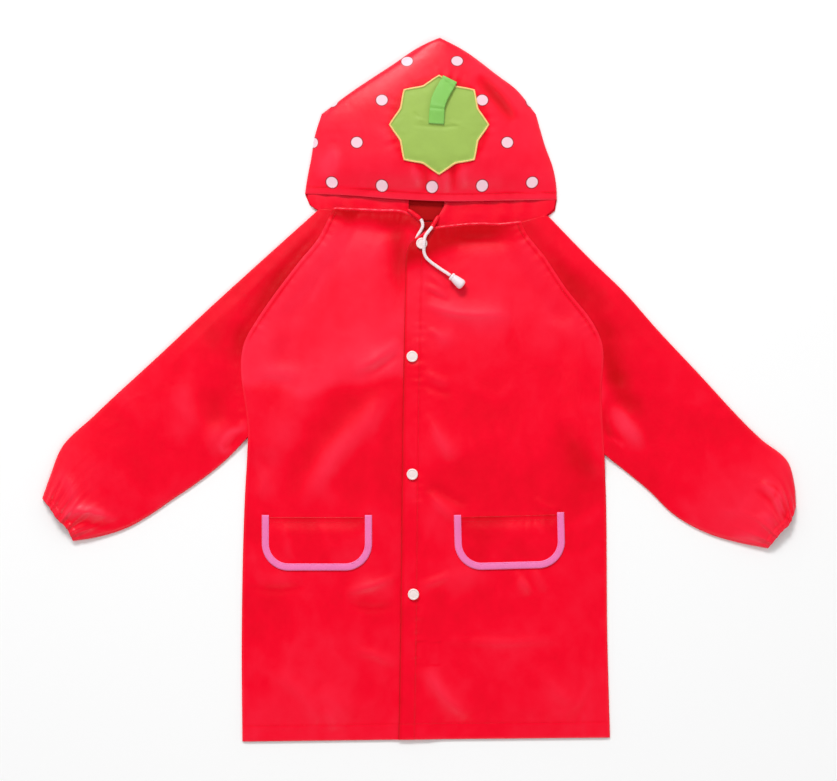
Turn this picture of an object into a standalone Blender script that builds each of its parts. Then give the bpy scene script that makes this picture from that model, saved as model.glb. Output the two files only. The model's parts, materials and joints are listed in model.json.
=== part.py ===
"""Child's hooded raincoat with raglan sleeves, laid flat on its back.

Every panel is a wall of cloth on a plan, with its height worked out from the layers under it and a
table of folds. Left and right are the wearer's, so the right half lies at -X. The tables and sizes are in
millimetres, and the meshes are in metres. The underside of the coat lies on z = 0.
"""

from collections import namedtuple
import math

import bmesh
import bpy
import numpy as np
from mathutils import Matrix, Vector

MM = 0.001

# Cloth and seams
CLOTH = 1.2  # wall of a panel
BACK_INSET = 0.6  # how far the back stays inside the fronts' sides
TRIM = 1.0  # wall of the patch, flaps, binding and ribbon
SEAM = 0.3  # room between pieces that are sewn or lie on each other
MIDDLE = (-0.5, 0.6)  # middle of the outline below, which becomes the origin

# How the layers lie
FRONT_BASE = CLOTH + SEAM  # underside of the fronts, on the back
TUCK_RISE = 3.5  # lift of the fronts over a tucked sleeve
TUCK_DEPTH = 22.0  # how far a sleeve runs in under the body's side
RAGLAN_LAP = 8.0  # how far it runs in under the raglan seam
TUCK_FADE = 32.0
TUCK_FOOT = -66.0  # the tucked stretch ends here and fades out
TUCK_FOOT_FADE = 36.0
NECK_RISE = 1.5  # lift of the fronts over the collar strips
NECK_LAP = 8.0
LAP_RISE = 1.7  # lift of the left front over the right one
CORNER_RISE = 3.9  # lift of the placket's top corner over the drawcord
CORNER_AT = (2.0, 190.0)
PUFF = 1.6  # loose air between front and back
PLACKET_STIFF = (-8.0, 24.0)  # stretch across the placket's edge that stays flat, and how it fades
STIFF_FADE = 34.0
SIDE_FADE = (6.0, 54.0)  # the loose air and folds come in over this stretch from a side
HEM_FADE = 46.0
NECK_FADE = 60.0
NECK_LINE = 226.0

# Sleeves
SLEEVE_WALL = 1.0
SLEEVE_EDGE = 3.2  # folded edge, over both walls
GATHERS = 7  # pleats across the cuff
GATHER_RISE = 1.3
GATHER_REACH = 46.0
SLEEVE_ROWS = (  # shares of the length, closer together at both ends
    0.0, 0.05, 0.11, 0.17, 0.24, 0.31, 0.38, 0.45, 0.52, 0.59, 0.66, 0.73, 0.8, 0.86, 0.91, 0.955, 1.0,
)
FOLD_INSET = 2.4  # first place inside a folded edge

# Hood
HOOD_EDGE = 3.4
LIP_RISE = 8.5
CROWN_RISE = 16.5
HOOD_ROWS = (0.0, 0.1, 0.22, 0.34, 0.46, 0.58, 0.7, 0.81, 0.9, 0.965, 1.0)

# Leaf patch and its ribbon
LEAF_MIDDLE = (24.6, 332.6)
LEAF_POINTS = 8
LEAF_RADIUS = 63.0
LEAF_WAIST = 0.85  # radius between two points, as a share
RIBBON_WIDTH = 19.5
RIBBON_GAP = 0.5

# Pocket flaps
FLAP_WIDTH = 139.0
FLAP_DEPTH = 67.0
FLAP_CORNER = 34.0
BINDING_WIDTH = 9.0

# Snaps, drawcord and cord end
SNAP_RADIUS = 7.0
SNAP_HEIGHT = 3.0
CORD_RADIUS = 2.0
TOGGLE_LENGTH = 20.0
TOGGLE_NEAR = 5.0  # radius where the cord goes in
TOGGLE_FAR = 6.5
TOGGLE_MIDDLE = (47.3, 137.3)
TOGGLE_HEADING = (0.777, -0.631)

# Outlines, each row x, y
RIGHT_EDGE = (  # side and raglan seam of the wearer's right, from the hem up
    (-223.5, -443.5), (-224.3, -315.0), (-220.5, -138.6), (-216.3, -60.0), (-217.0, 68.7),
    (-208.3, 83.2), (-151.8, 161.3), (-127.3, 191.6), (-114.9, 215.5), (-107.7, 230.0),
)
LEFT_EDGE = (
    (240.3, -438.5), (237.0, -315.0), (234.5, -113.4), (229.3, -6.6), (227.9, 65.8),
    (219.2, 83.2), (184.5, 128.0), (158.0, 167.6), (130.9, 204.6), (127.9, 212.9),
)
PLACKET = (  # free edge of the left front, from the hem up
    (-26.5, -441.0), (-23.9, -315.0), (-20.9, -113.0), (-19.8, 72.0), (-17.0, 101.0), (-13.1, 180.0),
    (-4.9, 191.3),
)
UNDERLAP = (  # free edge of the right front, hidden under the placket
    (3.5, -440.5), (6.0, -315.0), (9.0, -113.0), (10.2, 72.0), (13.0, 150.0), (11.5, 186.0), (2.3, 213.4),
)
NECK_RIGHT = ((-107.7, 230.0), (-49.8, 227.9), (-20.0, 226.0), (-5.4, 219.2), (2.3, 213.4))
NECK_LEFT = ((-4.9, 191.3), (15.1, 204.1), (35.0, 207.6), (77.5, 211.1), (101.4, 210.5), (127.9, 212.9))
BACK_NECK = ((-107.2, 228.4), (-80.0, 220.5), (-30.0, 214.0), (20.0, 212.0), (75.0, 211.5), (127.4, 211.9))

RIGHT_SLEEVE_TOP = (  # shoulder fold, from the neck to the cuff
    (-127.3, 227.8), (-214.1, 149.7), (-260.3, 107.7), (-329.7, 42.7), (-410.8, -32.5), (-452.7, -74.5),
    (-465.8, -107.7), (-475.9, -136.7),
)
RIGHT_SLEEVE_FOOT = (  # underarm fold, from under the body to the cuff
    (-196.0, -40.0), (-216.3, -60.0), (-243.1, -87.4), (-283.5, -119.3), (-311.0, -137.8),
    (-338.7, -156.9), (-368.2, -173.6), (-407.6, -185.9), (-436.6, -190.6),
)
RIGHT_CUFF = ((-475.9, -136.7), (-466.2, -146.8), (-455.2, -162.5), (-443.4, -174.5), (-436.6, -190.6))
RIGHT_ARMHOLE = (  # end of the sleeve, inside the raglan seam and the side
    (-127.3, 227.8), (-101.4, 227.0), (-108.6, 212.5), (-121.6, 187.6), (-146.3, 157.0), (-202.3, 79.6),
    (-197.0, 60.0), (-196.0, -40.0),
)
LEFT_SLEEVE_TOP = (
    (161.4, 220.6), (219.2, 161.3), (256.8, 125.1), (300.3, 76.0), (346.5, 26.8), (430.4, -61.5),
    (465.6, -92.0), (473.2, -120.0), (474.9, -146.0),
)
LEFT_SLEEVE_FOOT = (
    (212.0, -65.0), (235.1, -83.2), (262.6, -104.8), (288.7, -126.5), (320.4, -156.9), (358.1, -178.7),
    (404.3, -193.0), (439.1, -199.8),
)
LEFT_CUFF = (
    (474.9, -146.0), (469.5, -159.4), (464.5, -169.5), (455.5, -178.0), (447.5, -188.0), (439.1, -199.8),
)
LEFT_ARMHOLE = (
    (161.4, 220.6), (130.0, 212.2), (121.5, 207.6), (125.0, 199.6), (151.8, 163.2), (178.4, 123.2),
    (212.6, 79.4), (208.0, 62.0), (212.0, -65.0),
)

HOOD_BRIM = (
    (-144.5, 247.3), (-90.6, 245.1), (-29.6, 240.4), (30.0, 237.6), (102.1, 238.4), (173.3, 240.0),
)
HOOD_RIGHT = ((-144.5, 247.3), (-142.6, 261.3), (-136.7, 292.6), (-131.8, 321.6), (-123.4, 348.1))
HOOD_LEFT = ((173.3, 240.0), (173.1, 249.2), (169.1, 277.7), (158.3, 308.4), (146.8, 347.9))
HOOD_CROWN_RIGHT = ((-123.4, 348.1), (-86.1, 375.9), (-35.4, 409.5), (3.2, 434.8), (25.3, 444.7))
HOOD_CROWN_LEFT = ((25.3, 444.7), (51.4, 431.3), (99.5, 396.3), (121.6, 379.5), (146.8, 347.9))
HOOD_NECK_RIGHT = ((-138.5, 236.3), (-127.5, 229.8))  # seam of the hood's under layer with the sleeves
HOOD_NECK_LEFT = ((160.6, 222.8), (171.0, 229.4))
HOOD_NECK_GAP = 1.7  # room between that layer and the back neck

COLLAR_RIGHT_SEAM = ((-97.0, 221.0), (-49.8, 220.4), (-22.0, 218.8), (-9.0, 213.4), (0.0, 208.5))
COLLAR_RIGHT_TOP = ((-122.0, 262.0), (-68.0, 262.0), (-14.0, 262.0))
COLLAR_RIGHT_END = ((-97.0, 221.0), (-100.5, 229.5), (-124.0, 233.0), (-122.0, 262.0))
COLLAR_RIGHT_FACE = ((0.0, 208.5), (1.8, 214.0), (-14.0, 226.5), (-13.2, 235.6), (-14.0, 262.0))
COLLAR_LEFT_SEAM = ((16.5, 199.5), (36.0, 200.5), (77.5, 204.0), (116.0, 204.5))
COLLAR_LEFT_TOP = ((33.0, 262.0), (92.0, 262.0), (152.0, 262.0))
COLLAR_LEFT_END = ((116.0, 204.5), (120.0, 211.8), (131.0, 215.2), (157.0, 222.6), (152.0, 262.0))
COLLAR_LEFT_FACE = ((16.5, 199.5), (15.8, 204.8), (31.2, 232.7), (33.0, 262.0))

# Folds: a soft ridge from x0, y0 through xm, ym to x1, y1, or a trough where rise is negative
Fold = namedtuple("Fold", "x0 y0 xm ym x1 y1 rise width")
BODY_FOLDS = (
    Fold(-30, -2, -92, -66, -156, -150, 2.6, 15),  # long diagonal from the placket
    Fold(-44, 62, -150, -10, -200, -146, 1.4, 22),
    Fold(-60, 12, -132, -70, -170, -146, -1.2, 20),
    Fold(-212, 20, -180, 21, -146, 19, 1.6, 12),
    Fold(-24, 60, -50, 44, -82, 26, 1.4, 12),
    Fold(-26, -258, -60, -246, -96, -258, 1.6, 12),
    Fold(-214, -236, -180, -238, -146, -236, 1.4, 12),
    Fold(-92, -424, -110, -390, -122, -372, 1.3, 14),
    Fold(14, 110, 60, 96, 116, 95, 2.2, 14),
    Fold(20, 60, 34, 66, 48, 70, 1.0, 11),
    Fold(12, -44, 30, -66, 48, -92, 1.6, 12),
    Fold(10, -134, 36, -152, 60, -166, 1.3, 12),
    Fold(6, -350, 34, -386, 60, -414, 1.6, 14),
    Fold(124, -238, 133, -246, 139, -258, 1.4, 10),
    Fold(196, -60, 206, -90, 214, -130, -1.2, 16),
    Fold(60, 196, 90, 192, 124, 200, -1.0, 14),
    Fold(30, -246, 60, -236, 96, -242, 1.2, 14),
)
RIGHT_SLEEVE_FOLDS = (
    Fold(-240, -40, -262, -66, -228, -74, 2.0, 12),
    Fold(-306, 6, -300, -40, -310, -74, 1.4, 18),
    Fold(-170, 160, -190, 120, -226, 90, -1.4, 18),
    Fold(-246, 30, -256, -20, -252, -60, -1.4, 20),
    Fold(-448, -160, -430, -152, -396, -158, 2.2, 9),
)
LEFT_SLEEVE_FOLDS = (
    Fold(238, 60, 246, 10, 262, -30, -1.8, 16),
    Fold(232, 0, 244, -36, 284, -70, 2.4, 12),
    Fold(190, 150, 214, 130, 232, 96, -1.2, 16),
    Fold(430, -114, 446, -132, 456, -158, 2.2, 9),
)
HOOD_FOLDS = (
    Fold(74, 398, 104, 366, 121, 338, -2.4, 9),
    Fold(-118, 262, -116, 282, -112, 304, 1.2, 12),
)

# Thickness of a sleeve between its edges, along its length from the armhole to the cuff
Girth = namedtuple("Girth", "share thickness")
SLEEVE_GIRTH = (
    Girth(0.0, 5.0), Girth(0.3, 5.8), Girth(0.62, 6.4), Girth(0.8, 9.5), Girth(0.91, 14.0),
    Girth(1.0, 13.4),
)

FLAPS = {  # x, y of the middle of the top seam, tilt in degrees
    "right": (-129.3, -160.5, 0.0), "left": (112.8, -158.6, 1.5),
}
SNAPS = ((2.8, 184.5), (-9.3, 42.3), (-9.1, -106.1), (-7.6, -257.3))

# Routes of the cords: x, y, height of the axis, radius
LEFT_CORD = (
    (21.0, 214.5, 5.3, 2.0), (18.2, 209.4, 7.6, 2.0), (14.9, 203.9, 11.0, 2.0), (10.8, 198.6, 11.8, 2.0),
    (7.4, 193.6, 13.2, 2.0), (6.0, 188.6, 14.1, 2.0), (5.6, 183.4, 14.3, 2.0), (5.5, 177.8, 13.3, 2.0),
    (5.9, 172.2, 11.9, 2.0), (8.3, 166.8, 10.9, 2.0), (13.8, 161.4, 9.8, 2.0), (20.7, 156.3, 9.0, 2.0),
    (29.0, 150.6, 9.1, 2.0), (34.6, 147.0, 9.6, 2.0), (39.0, 143.9, 10.1, 2.0),
)
RIGHT_CORD = (
    (-10.6, 224.4, 6.5, 2.0), (-5.6, 220.6, 6.7, 2.0), (-0.4, 216.6, 6.9, 2.0), (3.4, 211.6, 7.0, 2.0),
    (4.0, 206.4, 6.9, 2.0), (2.0, 201.4, 6.5, 2.0), (-1.0, 196.6, 5.8, 1.9), (-3.4, 192.4, 5.3, 1.7),
    (-4.6, 188.2, 5.1, 1.6),
)

# Colours, in linear light, with roughness
FINISHES = {
    "shell_red": ((0.90, 0.006, 0.020), 0.38),
    "hood_dotted": ((0.93, 0.012, 0.030), 0.38),
    "leaf_green": ((0.39, 0.56, 0.10), 0.60),
    "stem_green": ((0.22, 0.68, 0.10), 0.50),
    "binding_pink": ((0.90, 0.16, 0.46), 0.55),
    "snap_white": ((0.90, 0.86, 0.84), 0.30),
    "cord_white": ((0.88, 0.84, 0.82), 0.70),
    "toggle_white": ((0.90, 0.87, 0.85), 0.30),
}


def smooth(low, high, value):
    """0 below low and 1 above high, with a soft step between them."""
    share = np.clip((value - low) / (high - low), 0.0, 1.0)
    return share * share * (3.0 - 2.0 * share)


class Line:
    """A line through a few points, smooth or straight between them, read by the share of its length."""

    def __init__(self, rows, straight=False):
        knots = np.array(rows, float)
        self.points = knots if straight else self.rounded(knots)
        steps = np.linalg.norm(np.diff(self.points[:, :3], axis=0), axis=1)
        self.length = steps.sum()
        self.shares = np.concatenate(([0.0], np.cumsum(steps))) / self.length

    @staticmethod
    def rounded(knots, per_span=14):
        span = np.linalg.norm(np.diff(knots, axis=0), axis=1)[:, None]
        chord = np.diff(knots, axis=0) / span
        slope = np.concatenate((chord[:1], chord[:-1] * span[1:] + chord[1:] * span[:-1], chord[-1:]))
        slope[1:-1] /= span[1:] + span[:-1]
        t = np.linspace(0.0, 1.0, per_span, endpoint=False)[None, :, None]
        start, end, length = knots[:-1, None], knots[1:, None], span[:, None]
        curve = (
            (2 * t**3 - 3 * t**2 + 1) * start + (3 * t**2 - 2 * t**3) * end
            + (t**3 - 2 * t**2 + t) * length * slope[:-1, None] + (t**3 - t**2) * length * slope[1:, None]
        )
        return np.concatenate((curve.reshape(-1, knots.shape[1]), knots[-1:]))

    def at(self, share):
        columns = [np.interp(share, self.shares, column) for column in self.points.T]
        return np.stack(columns, axis=-1)

    def nearest(self, x, y):
        """Distance of each place from the line, and the share of the line's length where it is nearest."""
        start, run = self.points[:-1], np.diff(self.points, axis=0)
        to = np.stack([x, y], axis=-1)[..., None, :] - start
        part = np.clip((to * run).sum(-1) / (run * run).sum(-1), 0.0, 1.0)
        away = np.linalg.norm(to - part[..., None] * run, axis=-1)
        best = away.argmin(-1)[..., None]
        share = self.shares[:-1] + part * np.diff(self.shares)
        return np.take_along_axis(away, best, -1)[..., 0], np.take_along_axis(share, best, -1)[..., 0]


class Plan:
    """A four-sided plan between two lines across and two lines along."""

    def __init__(self, near, far, first, last):
        self.near, self.far, self.first, self.last = near, far, first, last

    def at(self, u, v):
        u, v = np.broadcast_arrays(np.asarray(u, float), np.asarray(v, float))
        across, along = u[..., None], v[..., None]
        ruled = (1 - along) * self.near.at(u) + along * self.far.at(u)
        ruled = ruled + (1 - across) * self.first.at(v) + across * self.last.at(v)
        corner = (1 - across) * ((1 - along) * self.near.at(0.0) + along * self.far.at(0.0))
        corner = corner + across * ((1 - along) * self.near.at(1.0) + along * self.far.at(1.0))
        return ruled - corner


def ridge(folds, x, y):
    """Height that a table of folds adds at each place."""
    total = np.zeros_like(x)
    for fold in folds:
        line = Line(((fold.x0, fold.y0), (fold.xm, fold.ym), (fold.x1, fold.y1)))
        away, share = line.nearest(x, y)
        taper = np.sin(np.pi * np.clip(share, 0.0, 1.0)) ** 0.7
        total += fold.rise * taper * np.exp(-((away / fold.width) ** 2))
    return total


right_edge, left_edge = Line(RIGHT_EDGE), Line(LEFT_EDGE)
placket, underlap = Line(PLACKET), Line(UNDERLAP)
neck_right, neck_left = Line(NECK_RIGHT), Line(NECK_LEFT)


def edge_x(line, y):
    """Where an upright line stands at each height of the plan."""
    return np.interp(y, line.points[:, 1], line.points[:, 0])


def body_rise(x, y):
    """Loose air and folds that both fronts share, flat at the edges and along the placket."""
    side = np.minimum(right_edge.nearest(x, y)[0], left_edge.nearest(x, y)[0])
    rise = PUFF + ridge(BODY_FOLDS, x, y)
    strip = x - edge_x(placket, y)
    rise = rise * smooth(0.0, STIFF_FADE, np.maximum(PLACKET_STIFF[0] - strip, strip - PLACKET_STIFF[1]))
    rise = rise * smooth(*SIDE_FADE, side) * smooth(0.0, HEM_FADE, y - PLACKET[0][1])
    rise = rise * smooth(0.0, NECK_FADE, NECK_LINE - y)
    return np.maximum(rise, 0.0)


def tuck_rise(x, y):
    """Lift of the fronts where a sleeve is tucked in under them."""
    depth = RAGLAN_LAP + (TUCK_DEPTH - RAGLAN_LAP) * smooth(100.0, 62.0, y)
    side = np.minimum(right_edge.nearest(x, y)[0], left_edge.nearest(x, y)[0])
    along = smooth(TUCK_FOOT - TUCK_FOOT_FADE, TUCK_FOOT, y + 18.0 * (x > 0))
    return TUCK_RISE * along * (1.0 - smooth(depth + 3.0, depth + TUCK_FADE, side))


def front_under(x, y, over):
    """Underside of a front; the left front lies over the right one."""
    neck = neck_left if over else neck_right
    rise = np.maximum(tuck_rise(x, y), NECK_RISE * (1.0 - smooth(NECK_LAP, 30.0, neck.nearest(x, y)[0])))
    if over:
        lap = LAP_RISE * (1.0 - smooth(3.0, 28.0, x - edge_x(underlap, y)))
        corner = np.hypot(x - CORNER_AT[0], y - CORNER_AT[1])
        rise = np.maximum(rise, lap) + CORNER_RISE * (1.0 - smooth(13.0, 50.0, corner))
    return FRONT_BASE + body_rise(x, y) + rise


def front_over(x, y, over):
    return front_under(x, y, over) + CLOTH


def sleeve_heights(plan, u, v, side, folds, cuff):
    """Outer heights of a sleeve's lower and upper layer; it thins where it goes in under the body."""
    x, y = plan[..., 0], plan[..., 1]
    away = side.nearest(x, y)[0]
    outside = np.where(np.abs(x) > np.abs(edge_x(side, y)), away, -away)
    girth = np.interp(v, [row.share for row in SLEEVE_GIRTH], [row.thickness for row in SLEEVE_GIRTH])
    full = SLEEVE_EDGE + (girth - SLEEVE_EDGE) * (4.0 * u * (1.0 - u)) ** 0.6
    lower = FRONT_BASE * (1.0 - smooth(8.0, 24.0, outside))
    free = smooth(4.0, 42.0, outside)
    upper = SLEEVE_EDGE + (full - SLEEVE_EDGE + ridge(folds, x, y)) * free
    near_cuff = 1.0 - smooth(0.0, GATHER_REACH, cuff.nearest(x, y)[0])
    pleats = np.cos(2.0 * np.pi * GATHERS * u) * (4.0 * u * (1.0 - u)) ** 0.4
    upper = upper + GATHER_RISE * near_cuff * pleats
    return lower, lower + np.maximum(upper, 3.0)


hood_right, hood_left = Line(HOOD_RIGHT), Line(HOOD_LEFT)
hood_crown = Line(
    np.concatenate((Line(HOOD_CROWN_RIGHT).points, Line(HOOD_CROWN_LEFT).points[1:])), straight=True
)
HOOD_PEAK_SHARE = Line(HOOD_CROWN_RIGHT).length / hood_crown.length


def hood_over(x, y):
    """Outer height of the hood's upper layer, a low dome that stands open at the brim."""
    right = np.concatenate((hood_right.points, Line(HOOD_CROWN_RIGHT).points[1:]))
    left = np.concatenate((hood_left.points, Line(HOOD_CROWN_LEFT).points[::-1][1:]))
    low = np.interp(y, right[:, 1], right[:, 0])
    high = np.interp(y, left[:, 1], left[:, 0])
    share = np.clip((x - low) / np.maximum(high - low, 1.0), 0.0, 1.0)
    crown = np.sqrt(np.clip((HOOD_CROWN_RIGHT[-1][1] - y) / 96.0, 0.0, 1.0))
    rise = LIP_RISE + (CROWN_RISE - LIP_RISE) * smooth(238.0, 300.0, y)
    dome = rise * crown * (4.0 * share * (1.0 - share)) ** 0.7
    return HOOD_EDGE + dome + ridge(HOOD_FOLDS, x, y) * smooth(0.02, 0.2, share) * smooth(1.0, 0.8, share)


def finish_of(slot):
    color, roughness = FINISHES[slot]
    material = bpy.data.materials.new(slot)
    material.use_nodes = True
    shader = material.node_tree.nodes["Principled BSDF"]
    shader.inputs["Base Color"].default_value = (*color, 1.0)
    shader.inputs["Roughness"].default_value = roughness
    shader.inputs["Metallic"].default_value = 0.0
    return material


def add_piece(name, mesh, slot):
    piece = bpy.data.objects.new(name, mesh)
    mesh.materials.append(finish_of(slot))
    bpy.context.collection.objects.link(piece)
    return piece


def add_cloth(name, points, faces, slot, wall, grow, up_face=0):
    """A sheet of cloth as a mesh, with up_face looking up, made a closed wall by a Solidify modifier."""
    mesh = bpy.data.meshes.new(name)
    places = (np.array(points, float) - (*MIDDLE, 0.0)) * MM
    a, b, c = (places[corner] for corner in faces[up_face][:3])
    if np.cross(b - a, c - b)[2] < 0.0:
        faces = [face[::-1] for face in faces]
    mesh.from_pydata(places.tolist(), [], faces)
    mesh.shade_smooth()
    piece = add_piece(name, mesh, slot)
    solid = piece.modifiers.new("wall", "SOLIDIFY")
    solid.thickness = wall * MM
    solid.offset = grow
    solid.use_even_offset = True
    return piece


def grid_faces(rows, columns, first=0):
    faces = []
    for row in range(rows - 1):
        for column in range(columns - 1):
            corner = first + row * columns + column
            faces.append((corner, corner + 1, corner + columns + 1, corner + columns))
    return faces


def add_panel(name, plan, height, slot, wall=CLOTH):
    """An open sheet over a plan of rows and columns, from its underside up."""
    z = height(plan[..., 0], plan[..., 1])
    points = np.concatenate((plan, z[..., None]), axis=-1).reshape(-1, 3)
    return add_cloth(name, points, grid_faces(*plan.shape[:2]), slot, wall, 1.0)


def spread(count):
    return np.linspace(0.0, 1.0, count + 1)


def fold_shares(width, inner, fold):
    """Shares across a flattened tube, with one place just inside each folded edge."""
    inset = fold / width
    middle = inset + (1.0 - 2.0 * inset) * inner
    return np.concatenate(([0.0], middle, [1.0]))


def add_tube(name, plan, lower, upper, slot, wall, sewn_end=False, skirt=None):
    """A flattened tube: two layers on one plan, joined at both long edges, and at the far end if sewn.

    The skirt is a plan of rows that carries the lower layer on past the mouth, to its seam.
    """
    rows, columns = plan.shape[:2]
    points, index = [], {}

    def place(layer, row, column):
        shared = column in (0, columns - 1) or (sewn_end and row == rows - 1)
        key = (2 if shared else layer, row, column)
        if key not in index:
            low, high = lower[row, column], upper[row, column]
            z = (low + min(high, low + SLEEVE_EDGE)) / 2.0 if shared else (low, high)[layer]
            index[key] = len(points)
            points.append((*plan[row, column], z))
        return index[key]

    faces = []
    for row in range(rows - 1):
        for column in range(columns - 1):
            ring = ((row, column), (row, column + 1), (row + 1, column + 1), (row + 1, column))
            faces.append(tuple(place(1, *spot) for spot in ring))
            faces.append(tuple(place(0, *spot) for spot in reversed(ring)))
    if skirt is not None:
        edge = [place(0, 0, column) for column in range(columns)]
        for row in skirt:
            outer = []
            for x, y in row:
                outer.append(len(points))
                points.append((x, y, 0.0))
            for column in range(columns - 1):
                faces.append((edge[column], edge[column + 1], outer[column + 1], outer[column]))
            edge = outer
    return add_cloth(name, points, faces, slot, wall, -1.0)


def make_back():
    right = Line([(x + BACK_INSET, y) for x, y in RIGHT_EDGE[:-1]] + [BACK_NECK[0]])
    left = Line([(x - BACK_INSET, y) for x, y in LEFT_EDGE[:-1]] + [BACK_NECK[-1]])
    hem = Line((right.points[0], PLACKET[0], left.points[0]))
    plan = Plan(hem, Line(BACK_NECK), right, left).at(spread(10)[None, :], spread(12)[:, None])
    add_panel("back_panel", plan, lambda x, y: np.zeros_like(x), "shell_red")


def make_fronts():
    hem = Line((RIGHT_EDGE[0], PLACKET[0], UNDERLAP[0]))
    right = Plan(hem, neck_right, right_edge, underlap).at(spread(14)[None, :], spread(36)[:, None])
    add_panel("front_right", right, lambda x, y: front_under(x, y, False), "shell_red")
    hem = Line((PLACKET[0], LEFT_EDGE[0]))
    left = Plan(hem, neck_left, placket, left_edge).at(spread(16)[None, :], spread(36)[:, None])
    add_panel("front_left", left, lambda x, y: front_under(x, y, True), "shell_red")


def make_sleeve(name, top, foot, armhole, cuff, side, folds):
    top, foot, cuff = Line(top), Line(foot), Line(cuff)
    plan = Plan(Line(armhole, straight=True), cuff, top, foot)
    v = np.array(SLEEVE_ROWS)
    width = np.linalg.norm(top.at(v) - foot.at(v), axis=-1)
    u = np.array([fold_shares(each, spread(2 * GATHERS), FOLD_INSET) for each in width])
    v = np.broadcast_to(v[:, None], u.shape)
    spots = plan.at(u, v)
    lower, upper = sleeve_heights(spots, u, v, side, folds, cuff)
    add_tube(name, spots, lower, upper, "shell_red", SLEEVE_WALL)


def make_hood():
    plan = Plan(Line(HOOD_BRIM), hood_crown, hood_right, hood_left)
    v = np.array(HOOD_ROWS)
    peak = HOOD_PEAK_SHARE
    inner = np.concatenate((spread(8) * peak, peak + spread(7)[1:] * (1.0 - peak)))
    width = np.linalg.norm(hood_left.at(v) - hood_right.at(v), axis=-1)
    u = np.array([fold_shares(each, inner, FOLD_INSET) for each in width])
    spots = plan.at(u, np.broadcast_to(v[:, None], u.shape))
    upper = hood_over(spots[..., 0], spots[..., 1])
    lower = np.zeros_like(upper)
    back = [(x, y + HOOD_NECK_GAP) for x, y in BACK_NECK]
    seam = Line((*HOOD_NECK_RIGHT, *back, *HOOD_NECK_LEFT)).at(u[0])
    skirt = [spots[0] + (seam - spots[0]) * share for share in (0.5, 1.0)]
    add_tube("hood", spots, lower, upper, "hood_dotted", CLOTH, sewn_end=True, skirt=skirt)


def make_collars():
    for name, seam, top, first, last in (
        ("collar_right", COLLAR_RIGHT_SEAM, COLLAR_RIGHT_TOP, COLLAR_RIGHT_END, COLLAR_RIGHT_FACE),
        ("collar_left", COLLAR_LEFT_SEAM, COLLAR_LEFT_TOP, COLLAR_LEFT_FACE, COLLAR_LEFT_END),
    ):
        plan = Plan(Line(seam), Line(top), Line(first, straight=True), Line(last, straight=True))
        spots = plan.at(spread(9)[None, :], spread(5)[:, None])
        add_panel(name, spots, lambda x, y: np.full_like(x, CLOTH + SEAM), "shell_red")


def leaf_radius(angle):
    """Edge of the patch: points evenly round it, with hollow edges between them."""
    turn = (angle / (2.0 * np.pi) * LEAF_POINTS) % 1.0
    return LEAF_RADIUS * (LEAF_WAIST + (1.0 - LEAF_WAIST) * np.abs(1.0 - 2.0 * turn) ** 1.5)


def make_leaf():
    count = 4 * LEAF_POINTS
    angle = np.arange(count) * 2.0 * np.pi / count
    points = [LEAF_MIDDLE]
    rings = (0.36, 0.7, 1.0)
    for ring in rings:
        radius = ring * leaf_radius(angle)
        x = LEAF_MIDDLE[0] + radius * np.cos(angle)
        points += list(zip(x, LEAF_MIDDLE[1] + radius * np.sin(angle)))
    plan = np.array(points)
    z = hood_over(plan[:, 0], plan[:, 1]) + SEAM + 0.1
    faces = [(0, 1 + step, 1 + (step + 1) % count) for step in range(count)]
    for ring in range(len(rings) - 1):
        start = 1 + ring * count
        for step in range(count):
            after = (step + 1) % count
            faces.append((start + step, start + count + step, start + count + after, start + after))
    add_cloth("leaf_patch", np.column_stack((plan, z)), faces, "leaf_green", TRIM, 1.0)


def make_stem():
    """A ribbon folded into a flat loop that leans over the patch from its middle."""
    spine = Line(((21.0, 333.1), (23.3, 359.1), (37.7, 388.8)))
    steps = spread(5)
    spots = spine.at(steps)
    along = np.gradient(spots, axis=0)
    along /= np.linalg.norm(along, axis=1)[:, None]
    side = np.column_stack((along[:, 1], -along[:, 0])) * RIBBON_WIDTH / 2.0
    lower = hood_over(spots[:, 0], spots[:, 1]) + 0.4 + TRIM + 2.0 * SEAM
    gap = 2.0 * TRIM + RIBBON_GAP + 0.8 * np.sin(np.pi * steps)
    rows = [(spot, edge, z) for spot, edge, z in zip(spots, side, lower)]
    tip = spots[-1] + along[-1] * (gap[-1] / 2.0)
    rows.append((tip, side[-1], lower[-1] + gap[-1] / 2.0))
    rows += [(spot, edge, z + g) for spot, edge, z, g in list(zip(spots, side, lower, gap))[::-1]]
    points, columns = [], (-1.0, 0.0, 1.0)
    for spot, edge, z in rows:
        points += [(*(spot + edge * column), z) for column in columns]
    add_cloth("stem_loop", points, grid_faces(len(rows), len(columns)), "stem_green", TRIM, -1.0, -1)


def flap_place(side, across, down):
    """Plan place of a spot on a pocket flap, from the middle of its top seam."""
    middle_x, middle_y, tilt = FLAPS[side]
    turn = math.radians(tilt)
    x = middle_x + across * math.cos(turn) + down * math.sin(turn)
    y = middle_y + across * math.sin(turn) - down * math.cos(turn)
    return x, y


def make_flap(side):
    over = side == "left"
    straight = FLAP_WIDTH / 2.0 - FLAP_CORNER
    bend = FLAP_CORNER - 0.8
    turn = np.radians([90.0, 68.0, 45.0, 22.0])
    left = -straight - bend * np.sin(turn)
    across = np.concatenate((left, np.linspace(-straight, straight, 5), -left[::-1]))
    past = np.clip(np.abs(across) - straight, 0.0, bend)
    depth = FLAP_DEPTH - 0.8 - bend + np.sqrt(np.maximum(bend**2 - past**2, 0.0))
    down = np.array([0.0, 0.33, 0.66, 1.0])[:, None] * depth[None, :]
    x, y = flap_place(side, np.broadcast_to(across, down.shape), down)
    rest = lambda px, py: front_over(px, py, over) + SEAM + 0.15
    add_panel("pocket_flap_" + side, np.stack((x, y), axis=-1), rest, "shell_red", TRIM)


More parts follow.
